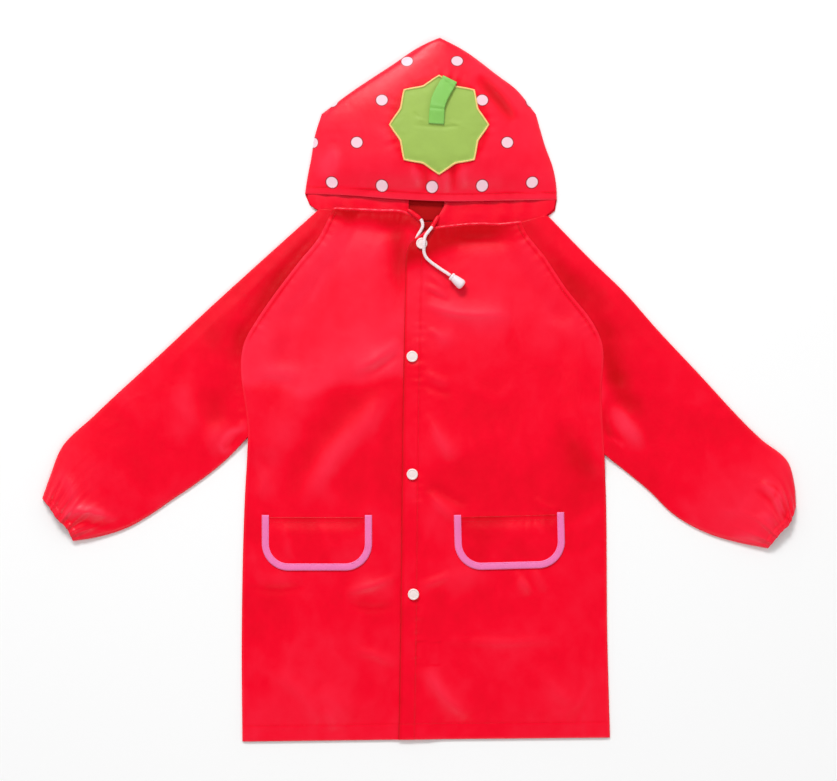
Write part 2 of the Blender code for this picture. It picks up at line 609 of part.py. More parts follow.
def make_binding(side):
    over = side == "left"
    straight = FLAP_WIDTH / 2.0 - FLAP_CORNER
    drop = FLAP_DEPTH - FLAP_CORNER
    path = [(-FLAP_WIDTH / 2.0, down, -1.0, 0.0) for down in np.linspace(-3.0, drop, 4)]
    for angle in np.radians([22.5, 45.0, 67.5, 90.0]):
        path.append((-straight - FLAP_CORNER * math.cos(angle), drop + FLAP_CORNER * math.sin(angle),
                     -math.cos(angle), math.sin(angle)))
    path += [(x, FLAP_DEPTH, 0.0, 1.0) for x in np.linspace(-straight, straight, 5)[1:-1]]
    path += [(-x, down, -out_x, out_down) for x, down, out_x, out_down in path[7::-1]]
    plan = []
    for x, down, out_x, out_down in path:
        inner = flap_place(side, x - out_x * BINDING_WIDTH, down - out_down * BINDING_WIDTH)
        plan.append((flap_place(side, x, down), inner))
    rest = lambda px, py: front_over(px, py, over) + SEAM + 0.15 + TRIM + SEAM
    add_panel("flap_binding_" + side, np.array(plan), rest, "binding_pink", TRIM)


def add_turned(name, profile, place, slot, sides):
    """A solid turned about +Z from a profile of radius and height, both ends on the axis."""
    shape = bmesh.new()
    spine = [shape.verts.new((radius * MM, 0.0, height * MM)) for radius, height in profile]
    edges = [shape.edges.new(pair) for pair in zip(spine, spine[1:])]
    bmesh.ops.spin(shape, geom=spine + edges, cent=(0, 0, 0), axis=(0, 0, 1), angle=math.tau, steps=sides,
                   use_merge=True)
    bmesh.ops.remove_doubles(shape, verts=shape.verts, dist=0.00001)
    bmesh.ops.recalc_face_normals(shape, faces=shape.faces)
    mesh = bpy.data.meshes.new(name)
    shape.to_mesh(mesh)
    shape.free()
    mesh.shade_smooth()
    piece = add_piece(name, mesh, slot)
    piece.matrix_world = place
    return piece


def make_snaps():
    profile = ((0.0, 0.0), (SNAP_RADIUS, 0.0), (SNAP_RADIUS, 1.0), (5.8, 2.1), (3.4, SNAP_HEIGHT - 0.15),
               (0.0, SNAP_HEIGHT))
    turn = np.linspace(0.0, 2.0 * np.pi, 12, endpoint=False)
    for number, (x, y) in enumerate(SNAPS, 1):
        rim = front_over(x + SNAP_RADIUS * np.cos(turn), y + SNAP_RADIUS * np.sin(turn), True)
        seat = Vector(((x - MIDDLE[0]) * MM, (y - MIDDLE[1]) * MM, (rim.max() + SEAM + 0.1) * MM))
        add_turned(f"snap_{number}", profile, Matrix.Translation(seat), "snap_white", 16)


def add_cord(name, route):
    """A round cord as a curve through its route, with a point every few diameters."""
    line = Line(route)
    count = int(line.length / (2.0 * CORD_RADIUS * 1.4)) + 1
    stops = line.at(np.linspace(0.0, 1.0, count))
    curve = bpy.data.curves.new(name, "CURVE")
    curve.dimensions = "3D"
    curve.bevel_depth = CORD_RADIUS * MM
    curve.bevel_resolution = 2
    curve.use_fill_caps = True
    spline = curve.splines.new("POLY")
    spline.points.add(count - 1)
    for point, (x, y, z, radius) in zip(spline.points, stops):
        point.co = ((x - MIDDLE[0]) * MM, (y - MIDDLE[1]) * MM, z * MM, 1.0)
        point.radius = radius / CORD_RADIUS
    add_piece(name, curve, "cord_white")


def make_toggle():
    """A bell-shaped cord end on its side, with the cord going in at its narrow end."""
    half = TOGGLE_LENGTH / 2.0
    profile = (
        (0.0, -half), (TOGGLE_NEAR - 0.8, -half), (TOGGLE_NEAR, -half + 1.0),
        (TOGGLE_FAR - 0.4, half - 7.0), (TOGGLE_FAR, half - 4.0), (TOGGLE_FAR - 0.7, half - 1.6),
        (TOGGLE_FAR - 2.6, half - 0.3), (0.0, half),
    )
    heading = Vector((*TOGGLE_HEADING, 0.0)).normalized()
    along, across = np.array(heading[:2]), np.array((-heading[1], heading[0]))
    spots = TOGGLE_MIDDLE + np.linspace(-half, half, 9)[:, None, None] * along
    spots = spots + np.linspace(-TOGGLE_FAR, TOGGLE_FAR, 5)[None, :, None] * across
    bed = front_over(spots[..., 0], spots[..., 1], True).max()
    seat = Vector(((TOGGLE_MIDDLE[0] - MIDDLE[0]) * MM, (TOGGLE_MIDDLE[1] - MIDDLE[1]) * MM,
                   (bed + SEAM + TOGGLE_FAR) * MM))
    turn = Vector((0, 0, 1)).rotation_difference(heading).to_matrix().to_4x4()
    add_turned("cord_toggle", profile, Matrix.Translation(seat) @ turn, "toggle_white", 16)


def main():
    for old in list(bpy.data.objects):
        bpy.data.objects.remove(old, do_unlink=True)
    make_back()
    make_fronts()
    make_sleeve("sleeve_right", RIGHT_SLEEVE_TOP, RIGHT_SLEEVE_FOOT, RIGHT_ARMHOLE, RIGHT_CUFF, right_edge,
                RIGHT_SLEEVE_FOLDS)
    make_sleeve("sleeve_left", LEFT_SLEEVE_TOP, LEFT_SLEEVE_FOOT, LEFT_ARMHOLE, LEFT_CUFF, left_edge,
                LEFT_SLEEVE_FOLDS)
    make_hood()
    make_collars()
    make_leaf()
    make_stem()
    for side in FLAPS:
        make_flap(side)
        make_binding(side)
    make_snaps()
    add_cord("drawcord_left", LEFT_CORD)
    add_cord("drawcord_right", RIGHT_CORD)
    make_toggle()


main()
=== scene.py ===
"""Looks of a child's hooded raincoat that lies flat on its back: cloth, stitching, snaps and drawcord.

The cloth repeats the heights of the solids on finer grids, with the small creases added. Left and right are
the wearer's, so the right half lies at -X. Tables and sizes are in millimetres, meshes in metres.
"""

import json
import math
from collections import namedtuple

import bpy
import numpy as np
from mathutils import Matrix, Vector

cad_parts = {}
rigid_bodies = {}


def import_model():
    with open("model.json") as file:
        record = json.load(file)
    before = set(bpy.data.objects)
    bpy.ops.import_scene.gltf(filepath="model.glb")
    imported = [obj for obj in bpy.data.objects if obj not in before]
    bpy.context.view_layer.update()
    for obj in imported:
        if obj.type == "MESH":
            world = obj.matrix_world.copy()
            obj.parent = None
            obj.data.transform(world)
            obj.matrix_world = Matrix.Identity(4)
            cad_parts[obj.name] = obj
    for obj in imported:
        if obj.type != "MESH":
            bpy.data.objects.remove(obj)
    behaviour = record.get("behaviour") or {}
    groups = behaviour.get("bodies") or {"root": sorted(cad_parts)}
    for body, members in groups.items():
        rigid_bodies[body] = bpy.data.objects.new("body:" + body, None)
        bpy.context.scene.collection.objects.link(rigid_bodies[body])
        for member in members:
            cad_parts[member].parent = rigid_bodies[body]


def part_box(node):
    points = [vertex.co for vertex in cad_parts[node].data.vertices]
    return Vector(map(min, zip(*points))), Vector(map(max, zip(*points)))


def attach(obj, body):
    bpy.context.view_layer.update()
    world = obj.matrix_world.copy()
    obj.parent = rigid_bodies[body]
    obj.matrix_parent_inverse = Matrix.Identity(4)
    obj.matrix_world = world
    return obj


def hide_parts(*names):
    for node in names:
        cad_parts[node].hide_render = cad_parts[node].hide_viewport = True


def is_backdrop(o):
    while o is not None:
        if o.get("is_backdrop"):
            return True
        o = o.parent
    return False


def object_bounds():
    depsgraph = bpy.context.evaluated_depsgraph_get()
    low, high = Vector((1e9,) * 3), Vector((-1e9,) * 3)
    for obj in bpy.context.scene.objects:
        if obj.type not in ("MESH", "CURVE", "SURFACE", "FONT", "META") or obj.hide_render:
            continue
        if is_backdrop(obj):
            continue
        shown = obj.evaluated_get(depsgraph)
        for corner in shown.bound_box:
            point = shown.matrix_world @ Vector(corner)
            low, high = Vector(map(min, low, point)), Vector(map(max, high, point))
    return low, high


bl_info = {
    "name": "Child's Raincoat",
    "version": (1, 0, 0),
    "blender": (4, 5, 0),
    "location": "3D View > Sidebar > Raincoat",
    "description": "Dresses the packed raincoat with cloth, stitching, snaps and a drawcord",
    "category": "Object",
}

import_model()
CAD_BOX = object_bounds()

MM = 0.001

# Cloth and seams
CLOTH = 1.2  # wall of a panel of the solids, whose outer heights the thinner cloth keeps
BACK_INSET = 0.6  # how far the back stays inside the fronts' sides
TRIM = 1.0  # the same of the patch, flaps, binding and ribbon
SEAM = 0.3  # room between pieces that are sewn or lie on each other
MIDDLE = (-0.5, 0.6)  # middle of the outline below, which becomes the origin

# How the layers lie
FRONT_BASE = CLOTH + SEAM  # underside of the fronts, on the back
TUCK_RISE = 3.5  # lift of the fronts over a tucked sleeve
TUCK_DEPTH = 22.0  # how far a sleeve runs in under the body's side
RAGLAN_LAP = 8.0  # how far it runs in under the raglan seam
TUCK_FADE = 32.0
TUCK_FOOT = -66.0  # the tucked stretch ends here and fades out
TUCK_FOOT_FADE = 36.0
RAGLAN_FOOT = (58.0, 76.0)  # the raglan seam's stitches start over this stretch
NECK_RISE = 1.5  # lift of the fronts over the collar strips
NECK_LAP = 8.0
LAP_RISE = 1.7  # lift of the left front over the right one
CORNER_RISE = 3.9  # lift of the placket's top corner over the drawcord
CORNER_AT = (2.0, 190.0)
PUFF = 1.6  # loose air between front and back
PLACKET_STIFF = (-8.0, 24.0)  # stretch across the placket's edge that stays flat
STIFF_FADE = 34.0  # way over which the folds come in beside it
SIDE_FADE = (6.0, 54.0)  # the loose air and folds come in over this stretch from a side
HEM_FADE = 46.0
NECK_FADE = 60.0
NECK_LINE = 226.0

# Sleeves
SLEEVE_EDGE = 3.2  # folded edge, over both walls
FOLD_MIDDLE = SLEEVE_EDGE / 2.0  # where the two layers of a sleeve or the hood meet, over the lower one
GATHERS = 7  # pleats across the cuff
GATHER_RISE = 1.3
GATHER_REACH = 46.0

# Hood
HOOD_EDGE = 3.4  # folded edge, over both layers
LIP_RISE = 8.5  # how high the dome stands at the brim and further up
CROWN_RISE = 16.5
HOOD_SLOPE = (238.0, 300.0)  # from the brim's rise to the crown's
CROWN_SPAN = 96.0  # the dome falls to the crown's seam over this stretch
HOOD_SPREAD = (-20.0, -10.0, 0.0, 10.0, 20.0)  # rows whose widths are averaged for the dome

# Leaf patch and its ribbon
LEAF_MIDDLE = (24.6, 332.6)
LEAF_POINTS = 8
LEAF_RADIUS = 63.0
LEAF_WAIST = 0.85  # radius between two points, as a share
RIBBON_WIDTH = 19.5
STEM_WAY = ((21.0, 333.1), (23.3, 359.1), (37.7, 388.8))
STEM_STITCH = 19.0  # where the ribbon's two layers are sewn together, from its foot
STEM_TURN = (-60.0, -30.0, 0.0, 30.0, 60.0)  # angles round the fold at its tip

# Pocket flaps
FLAP_WIDTH = 139.0
FLAP_DEPTH = 67.0
FLAP_CORNER = 34.0
FLAP_STRAIGHT = FLAP_WIDTH / 2.0 - FLAP_CORNER  # half of the straight stretch of its foot
FLAP_INSET = 0.8  # how far its edge stays inside the tape
BINDING_WIDTH = 9.0

# Snaps, drawcord and cord end
SNAP_RADIUS = 7.0
SNAP_HEIGHT = 3.0
SNAP_SHANK = 0.9  # how far a cap reaches down into the cloth
SNAP_RINGS = (  # width and rise of each ring, from the rim to the middle
    (0.5, 0.35), (0.7, 0.15), (0.6, -0.05), (0.35, -0.45), (0.9, 0.10), (1.2, 0.18), (1.4, 0.10),
)
CORD_RADIUS = 2.0
TOGGLE_LENGTH = 20.0
TOGGLE_NEAR = 5.0  # radius where the cord goes in
TOGGLE_FAR = 6.5
TOGGLE_HEADING = (0.777, -0.631)
TOGGLE_TIP = (55.1, 131.0)

# Outlines, each row x, y
RIGHT_EDGE = (  # side and raglan seam of the wearer's right, from the hem up
    (-223.5, -443.5), (-224.3, -315.0), (-220.5, -138.6), (-216.3, -60.0), (-217.0, 68.7),
    (-208.3, 83.2), (-151.8, 161.3), (-127.3, 191.6), (-114.9, 215.5), (-107.7, 230.0),
)
LEFT_EDGE = (
    (240.3, -438.5), (237.0, -315.0), (234.5, -113.4), (229.3, -6.6), (227.9, 65.8),
    (219.2, 83.2), (184.5, 128.0), (158.0, 167.6), (130.9, 204.6), (127.9, 212.9),
)
PLACKET = (  # free edge of the left front, from the hem up
    (-26.5, -441.0), (-24.4, -315.0), (-22.2, -113.0), (-19.6, 60.0), (-17.6, 138.0), (-16.2, 172.0),
    (-13.0, 182.5), (-4.9, 191.3),
)
UNDERLAP = (  # free edge of the right front, hidden under the placket
    (3.5, -440.5), (6.0, -315.0), (9.0, -113.0), (10.2, 72.0), (13.0, 150.0), (11.5, 186.0), (2.3, 213.4),
)
NECK_RIGHT = ((-107.7, 230.0), (-49.8, 227.9), (-20.0, 226.0), (-5.4, 219.2), (2.3, 213.4))
NECK_LEFT = ((-4.9, 191.3), (15.1, 204.1), (35.0, 207.6), (77.5, 211.1), (101.4, 210.5), (127.9, 212.9))
BACK_NECK = ((-107.2, 228.4), (-80.0, 220.5), (-30.0, 214.0), (20.0, 212.0), (75.0, 211.5), (127.4, 211.9))

RIGHT_SLEEVE_TOP = (  # shoulder fold, from the neck to the cuff
    (-127.3, 227.8), (-214.1, 149.7), (-260.3, 107.7), (-329.7, 42.7), (-410.8, -32.5), (-452.7, -74.5),
    (-465.8, -107.7), (-475.9, -136.7),
)
RIGHT_SLEEVE_FOOT = (  # underarm fold, from under the body to the cuff
    (-196.0, -40.0), (-216.3, -60.0), (-243.1, -87.4), (-283.5, -119.3), (-311.0, -137.8),
    (-338.7, -156.9), (-368.2, -173.6), (-407.6, -185.9), (-436.6, -190.6),
)
RIGHT_CUFF = ((-475.9, -136.7), (-466.2, -146.8), (-455.2, -162.5), (-443.4, -174.5), (-436.6, -190.6))
RIGHT_ARMHOLE = (  # end of the sleeve, inside the raglan seam and the side
    (-127.3, 227.8), (-101.4, 227.0), (-108.6, 212.5), (-121.6, 187.6), (-146.3, 157.0), (-202.3, 79.6),
    (-197.0, 60.0), (-196.0, -40.0),
)
LEFT_SLEEVE_TOP = (
    (161.4, 220.6), (219.2, 161.3), (256.8, 125.1), (300.3, 76.0), (346.5, 26.8), (430.4, -61.5),
    (465.6, -92.0), (473.2, -120.0), (474.9, -146.0),
)
LEFT_SLEEVE_FOOT = (
    (212.0, -65.0), (235.1, -83.2), (262.6, -104.8), (288.7, -126.5), (320.4, -156.9), (358.1, -178.7),
    (404.3, -193.0), (439.1, -199.8),
)
LEFT_CUFF = (
    (474.9, -146.0), (469.5, -159.4), (464.5, -169.5), (455.5, -178.0), (447.5, -188.0), (439.1, -199.8),
)
LEFT_ARMHOLE = (
    (161.4, 220.6), (130.0, 212.2), (121.5, 207.6), (125.0, 199.6), (151.8, 163.2), (178.4, 123.2),
    (212.6, 79.4), (208.0, 62.0), (212.0, -65.0),
)

HOOD_BRIM = (
    (-144.5, 247.3), (-90.6, 245.1), (-29.6, 240.4), (30.0, 237.6), (102.1, 238.4), (173.3, 240.0),
)
HOOD_RIGHT = ((-144.5, 247.3), (-142.6, 261.3), (-136.7, 292.6), (-131.8, 321.6), (-123.4, 348.1))
HOOD_LEFT = ((173.3, 240.0), (173.1, 249.2), (169.1, 277.7), (158.3, 308.4), (146.8, 347.9))
HOOD_CROWN_RIGHT = ((-123.4, 348.1), (-86.1, 375.9), (-35.4, 409.5), (3.2, 434.8), (25.3, 444.7))
HOOD_CROWN_LEFT = ((25.3, 444.7), (51.4, 431.3), (99.5, 396.3), (121.6, 379.5), (146.8, 347.9))

COLLAR_RIGHT_SEAM = ((-97.0, 221.0), (-49.8, 220.4), (-22.0, 218.8), (-9.0, 213.4), (0.0, 208.5))
COLLAR_RIGHT_FACE = ((0.0, 208.5), (1.8, 214.0), (-14.0, 226.5), (-13.2, 235.6), (-14.0, 262.0))
COLLAR_LEFT_SEAM = ((16.5, 199.5), (36.0, 200.5), (77.5, 204.0), (116.0, 204.5))
COLLAR_LEFT_FACE = ((16.5, 199.5), (15.8, 204.8), (31.2, 232.7), (33.0, 262.0))

# Folds: a soft ridge from x0, y0 through xm, ym to x1, y1, or a trough where rise is negative
Fold = namedtuple("Fold", "x0 y0 xm ym x1 y1 rise width")


def folds(*rows):
    return [Fold(*row) for row in rows]


BODY_FOLDS = folds(
    (-30, -2, -92, -66, -156, -150, 2.6, 15),  # long diagonal from the placket
    (-44, 62, -150, -10, -200, -146, 1.4, 22), (-60, 12, -132, -70, -170, -146, -1.2, 20),
    (-212, 20, -180, 21, -146, 19, 1.6, 12), (-24, 60, -50, 44, -82, 26, 1.4, 12),
    (-26, -258, -60, -246, -96, -258, 1.6, 12), (-214, -236, -180, -238, -146, -236, 1.4, 12),
    (-92, -424, -110, -390, -122, -372, 1.3, 14), (14, 110, 60, 96, 116, 95, 2.2, 14),
    (20, 60, 34, 66, 48, 70, 1.0, 11), (12, -44, 30, -66, 48, -92, 1.6, 12),
    (10, -134, 36, -152, 60, -166, 1.3, 12), (6, -350, 34, -386, 60, -414, 1.6, 14),
    (124, -238, 133, -246, 139, -258, 1.4, 10), (196, -60, 206, -90, 214, -130, -1.2, 16),
    (60, 196, 90, 192, 124, 200, -1.0, 14), (30, -246, 60, -236, 96, -242, 1.2, 14),
)
RIGHT_SLEEVE_FOLDS = folds(
    (-240, -40, -262, -66, -228, -74, 2.0, 12), (-306, 6, -300, -40, -310, -74, 1.4, 18),
    (-170, 160, -190, 120, -226, 90, -1.4, 18), (-246, 30, -256, -20, -252, -60, -1.4, 20),
    (-448, -160, -430, -152, -396, -158, 2.2, 9),
)
LEFT_SLEEVE_FOLDS = folds(
    (238, 60, 246, 10, 262, -30, -1.8, 16), (232, 0, 244, -36, 284, -70, 2.4, 12),
    (190, 150, 214, 130, 232, 96, -1.2, 16), (430, -114, 446, -132, 456, -158, 2.2, 9),
)
HOOD_FOLDS = folds(
    (74, 398, 104, 366, 121, 338, -2.4, 9), (-118, 262, -116, 282, -112, 304, 1.2, 12),
)

# Thickness of a sleeve between its edges, at shares of its length from the armhole to the cuff
SLEEVE_GIRTH = ((0.0, 5.0), (0.3, 5.8), (0.62, 6.4), (0.8, 9.5), (0.91, 14.0), (1.0, 13.4))

FLAPS = {  # x, y of the middle of the top seam, tilt in degrees
    "right": (-129.3, -160.5, 0.0), "left": (112.8, -158.6, 1.5),
}
FLAP_LIFT = SEAM + 0.15 + TRIM  # outer side of a flap over its front
TAPE_LIFT = FLAP_LIFT + SEAM + 0.6
SNAPS = ((2.8, 184.5), (-9.3, 42.3), (-9.1, -106.1), (-7.6, -257.3))
BOX_MIDDLE = (10.7, -332.0)  # stitched box on the placket
BOX_HALF = (15.1, 14.5)

# Routes of the cords: x, y, height of the axis, radius
LEFT_CORD = (
    (21.0, 214.5, 5.3, 2.0), (18.2, 209.4, 7.6, 2.0), (14.9, 203.9, 11.0, 2.0), (10.8, 198.6, 11.8, 2.0),
    (7.4, 193.6, 13.2, 2.0), (6.0, 188.6, 14.1, 2.0), (5.6, 183.4, 14.3, 2.0), (5.5, 177.8, 13.3, 2.0),
    (5.9, 172.2, 11.9, 2.0), (8.3, 166.8, 10.9, 2.0), (13.8, 161.4, 9.8, 2.0), (20.7, 156.3, 9.0, 2.0),
    (29.0, 150.6, 9.1, 2.0), (34.6, 147.0, 9.6, 2.0), (39.0, 143.9, 10.1, 2.0),
)
RIGHT_CORD = (
    (-10.6, 224.4, 6.5, 2.0), (-5.6, 220.6, 6.7, 2.0), (-0.4, 216.6, 6.9, 2.0), (3.4, 211.6, 7.0, 2.0),
    (4.0, 206.4, 6.9, 2.0), (2.0, 201.4, 6.5, 2.0), (-1.0, 196.6, 5.8, 1.9), (-3.4, 192.4, 5.3, 1.7),
    (-4.6, 188.2, 5.1, 1.6),
)

# Rolled ends of the channel that the cords come out of, in the same columns
LEFT_CHANNEL = (
    (24.2, 219.6, 4.4, 1.5), (22.6, 217.2, 4.8, 2.3), (21.0, 214.5, 5.4, 2.6), (18.2, 209.4, 7.7, 2.7),
    (16.4, 206.3, 9.7, 2.65), (15.5, 204.8, 10.5, 2.25),
)
RIGHT_CHANNEL = (
    (-15.6, 227.4, 5.6, 1.3), (-13.2, 226.1, 6.1, 2.2), (-10.6, 224.4, 6.5, 2.5), (-5.6, 220.6, 6.7, 2.65),
    (-0.6, 216.7, 6.9, 2.65), (1.0, 214.7, 7.0, 2.25),
)

# Small creases, which only the finer cloth has
BODY_CREASES = folds(
    (-24, -233, -58, -246, -94, -255, 0.9, 5), (-81, -328, -58, -333, -31, -347, 0.9, 6),
    (-28, -272, -60, -276, -92, -270, -0.7, 6), (-24, 63, -58, 36, -88, 22, 0.9, 6),
    (-22, 46, -40, 34, -66, 16, -0.8, 5), (-216, 10, -186, 12, -150, 6, -0.6, 8),
    (-208, -84, -196, -112, -204, -138, 0.8, 6), (-120, -400, -112, -414, -104, -430, 0.9, 6),
    (-216, -248, -180, -252, -142, -248, -0.8, 6), (-186, -356, -150, -380, -128, -420, 0.8, 9),
    (-6, 111, 45, 97, 114, 96, 0.9, 5), (6, 150, 20, 141, 34, 128, 0.8, 4),
    (4, 132, 18, 127, 36, 117, 0.8, 4), (8, 124, 24, 116, 40, 108, -0.7, 4),
    (8, 76, 22, 71, 34, 60, 0.8, 4), (6, 22, 20, 15, 38, 7, 0.8, 5),
    (4, 8, 22, 0, 40, -6, -0.7, 5), (8, -30, 24, -58, 38, -88, 0.9, 5),
    (10, -128, 30, -150, 46, -168, 0.9, 5), (12, -118, 36, -134, 60, -146, -0.7, 6),
    (146, -136, 160, -148, 174, -150, 0.8, 5), (120, -228, 128, -240, 138, -252, 1.0, 5),
    (142, -224, 150, -238, 158, -254, 0.9, 5), (132, -232, 138, -242, 146, -254, -0.8, 4),
    (4, -246, 22, -240, 40, -232, 0.9, 5), (26, -315, 100, -318, 178, -314, 0.7, 6),
    (8, -352, 32, -386, 60, -412, 0.9, 6), (150, -350, 176, -384, 206, -398, 0.8, 9),
    (180, -38, 190, -74, 206, -112, -1.2, 12), (214, -36, 224, -76, 232, -112, 1.0, 10),
    (22, 197, 60, 188, 124, 190, -1.3, 9), (-96, 206, -60, 200, -24, 196, -0.9, 10),
)
RIGHT_SLEEVE_CREASES = folds(
    (-249, -69, -226, -50, -217, -35, 1.2, 5), (-240, -78, -232, -62, -222, -48, -1.0, 5),
    (-130, 200, -152, 170, -186, 128, -1.0, 12), (-226, 90, -222, 60, -216, 30, -0.9, 12),
    (-300, 20, -286, -30, -240, -70, 0.9, 12), (-449, -160, -426, -152, -380, -164, 1.4, 5),
    (-452, -168, -424, -166, -390, -172, -1.0, 5), (-456, -104, -440, -118, -432, -146, 0.9, 7),
)
LEFT_SLEEVE_CREASES = folds(
    (246, -19, 262, -40, 278, -63, 1.2, 7), (232, -6, 240, -40, 256, -70, -1.2, 8),
    (232, 96, 244, 50, 254, 0, -1.0, 15), (216, 60, 224, 20, 232, -30, 1.2, 5),
    (160, 176, 186, 148, 214, 112, -0.8, 12), (430, -116, 442, -124, 456, -148, 1.1, 5),
    (422, -124, 440, -138, 452, -160, -1.1, 5), (424, -158, 436, -160, 444, -174, 0.9, 5),
    (392, -184, 416, -186, 436, -192, 0.8, 5),
)
SLEEVE_PAINTED_LIGHT = folds(  # painted highlights and painted shade, where rise is a share of the whole change of colour
    (226, 46, 232, 14, 240, -14, 0.35, 5), (238, -19, 256, -42, 290, -84, 0.42, 11),
    (249, 26, 265, -14, 290, -36, -0.35, 12), (231, -14, 234, -46, 247, -70, -0.4, 4),
    (238, 70, 246, 46, 252, 16, 0.3, 11), (233, -58, 250, -66, 260, -73, 0.6, 3),
    (-217, -48, -242, -55, -251, -67, 0.7, 3.4), (-252, -64, -247, -77, -235, -72, 0.6, 3),
    (-449, -168, -431, -157, -396, -162, -0.3, 3), (-449, -160, -430, -149, -394, -155, 0.5, 4),
    (-286, 92, -256, 60, -238, 20, -0.25, 26), (-300, 10, -270, -40, -262, -96, -0.3, 22),
    (427, -114, 449, -127, 440, -140, -0.8, 2.6), (440, -124, 454, -140, 464, -156, -0.8, 2.4),
    (452, -150, 458, -158, 466, -164, -0.7, 2.2), (446, -134, 452, -148, 454, -162, 0.6, 3),
)
HOOD_CREASES = folds(
    (-9, 284, -5, 268, -2, 256, 2.0, 4), (6, 278, 8, 262, 8, 248, -1.5, 4),
    (18, 276, 19, 264, 20, 252, 1.3, 3), (30, 284, 33, 268, 34, 248, 1.8, 4),
    (42, 286, 42, 268, 44, 250, -1.5, 4), (56, 286, 54, 272, 58, 254, 1.4, 5),
    (70, 393, 97, 363, 119, 338, -1.4, 6), (78, 402, 108, 372, 128, 344, 1.0, 6),
    (-112, 268, -108, 290, -110, 310, 1.0, 7), (-90, 244, -50, 252, -20, 249, -0.6, 5),
)
LEAF_CREASES = folds(
    (-8, 332, 24, 329, 58, 332, -0.95, 2.2), (-7, 349, -3, 342, -1, 337, -0.95, 2.0),
    (-6, 341, 2, 338, 8, 336, 0.7, 2.4), (38, 338, 46, 333, 58, 330, 0.8, 3.0),
)

# How fine the meshes are
PITCH = 2.6  # mesh of the body panels
SLEEVE_PITCH = 3.4
HOOD_PITCH = 2.8
BACK_PITCH = 9.0
COLLAR_PITCH = 2.4
FLAP_PITCH = 2.2
TAPE_PITCH = 2.0
SLEEVE_FINER = 0.72  # a sleeve's columns are closer together than its rows
BACK_SPAN = (456.0, 650.0)  # cloth that the columns and the rows of a mesh are spread over
FRONT_SPAN = 655.0
SLEEVE_SPAN = (190.0, 400.0)
HOOD_SPAN = (300.0, 185.0)
COLLAR_SPAN = (120.0, 50.0)

# How the cloth is finished
EDGE_ROUND = 2.2  # radius of a folded edge
RAGLAN_STITCH = 5.0  # distance of each stitch line from its edge
PLACKET_STITCH = 20.0
HEM_STITCH = 20.0
NECK_STITCH = 3.2
FLAP_STITCH = 6.0
BRIM_STITCH = 9.0
CUFF_STITCH = 9.0
COLLAR_STITCH = 8.0
COLLAR_TOP = 262.0  # where the strips end, under the brim
BINDING_STITCH = 1.6
SEAM_RAISE = 0.35  # what the turned-in cloth adds between an edge and its stitches
STITCH_SINK = 0.30
PUCKER_RISE = 0.26  # small gathers along a line of stitches, and how far beside it they reach
PUCKER_REACH = 9.0
CRUMPLE = 0.42  # the creases that cloth keeps from being packed
LATTICE = 61  # random values along each side of a field, repeated from there on
LATTICE_SHIFT = 900.0  # keeps the places on the coat in the lattice's positive part

HOOD_SEAM = (  # end of the hood's under layer, on the back's neck and under the sleeves
    (-138.5, 233.2), (-127.5, 226.4), (-112.0, 226.0), (-106.8, 228.9), (-80.0, 221.0), (-30.0, 214.5),
    (20.0, 212.5), (75.0, 212.0), (127.0, 212.4), (134.0, 209.6), (158.0, 217.0), (171.0, 226.0),
)
COLLAR_RIGHT_TURN = (
    (-97.0, 221.0), (-104.0, 224.5), (-127.0, 226.2), (-137.0, 232.8), (-141.0, 241.0), (-141.0, 262.0),
)
COLLAR_LEFT_TURN = (
    (116.0, 204.5), (121.0, 208.5), (136.0, 211.5), (158.0, 218.5), (169.5, 228.0), (172.0, 241.0),
    (172.0, 262.0),
)
BRIM_TUCK = 4.5  # how far the brim bends down towards the collar strips
SIDE_STRETCH = 8.0  # cloth of the hood that turns under beyond what its plan shows
LEAF_LIFT = SEAM + 0.1 + TRIM - 0.35  # outer side of the patch over the hood
LEAF_EDGE = 2.4  # width of the patch's sewn edge
LEAF_EDGE_ROWS = (0.06, 0.16, 0.3, 0.5, 0.7, 0.84, 0.94, 1.0)  # rings across it, as shares of its width
TAPE_ROWS = (0.0, 0.025, 0.06, 0.12, 0.2, 0.32, 0.46, 0.6, 0.7, 0.77, 0.82, 0.87, 0.93, 0.97, 1.0)
CORD_ROUND = 12.6  # way round a cord
CORD_STEP = 0.8
CORD_SIDES = 36
CORD_BRAID = 0.045  # height of the strands, as a share of the radius

# Ends of the shell's red: painted highlight for the sheen on pale places, and painted shade in folds and
# seams
PAINTED_HIGHLIGHT_RED = (0.97, 0.024, 0.062)
PAINTED_SHADE_RED = (0.58, 0.0, 0.004)
PANEL_RED = (0.86, 0.0, 0.0172)  # the back, but for the painted shade behind the neck's opening, in metres:
OPENING_MIDDLE = 0.011
OPENING_HALF = (0.052, 0.034)
OPENING_FOOT = (0.180, 0.188)

# Stitches
STITCH_STEP = 3.0
STITCH_LENGTH = 2.3
STITCH_WIDTH = 0.42
THREAD_LIFT = 0.02  # of the tape's stitches over the tape

# Dots of the hood, where x and y are read on the flat cloth
DOT_PITCH = 63.0
DOT_ROW_PITCH = 55.0
DOT_RADIUS = 7.5
DOT_FIRST_X = 15.75
DOT_ROWS_Y = (200.1, 255.2, 310.3, 364.1, 413.9, 458.0)  # heights of the rows, the second one whole

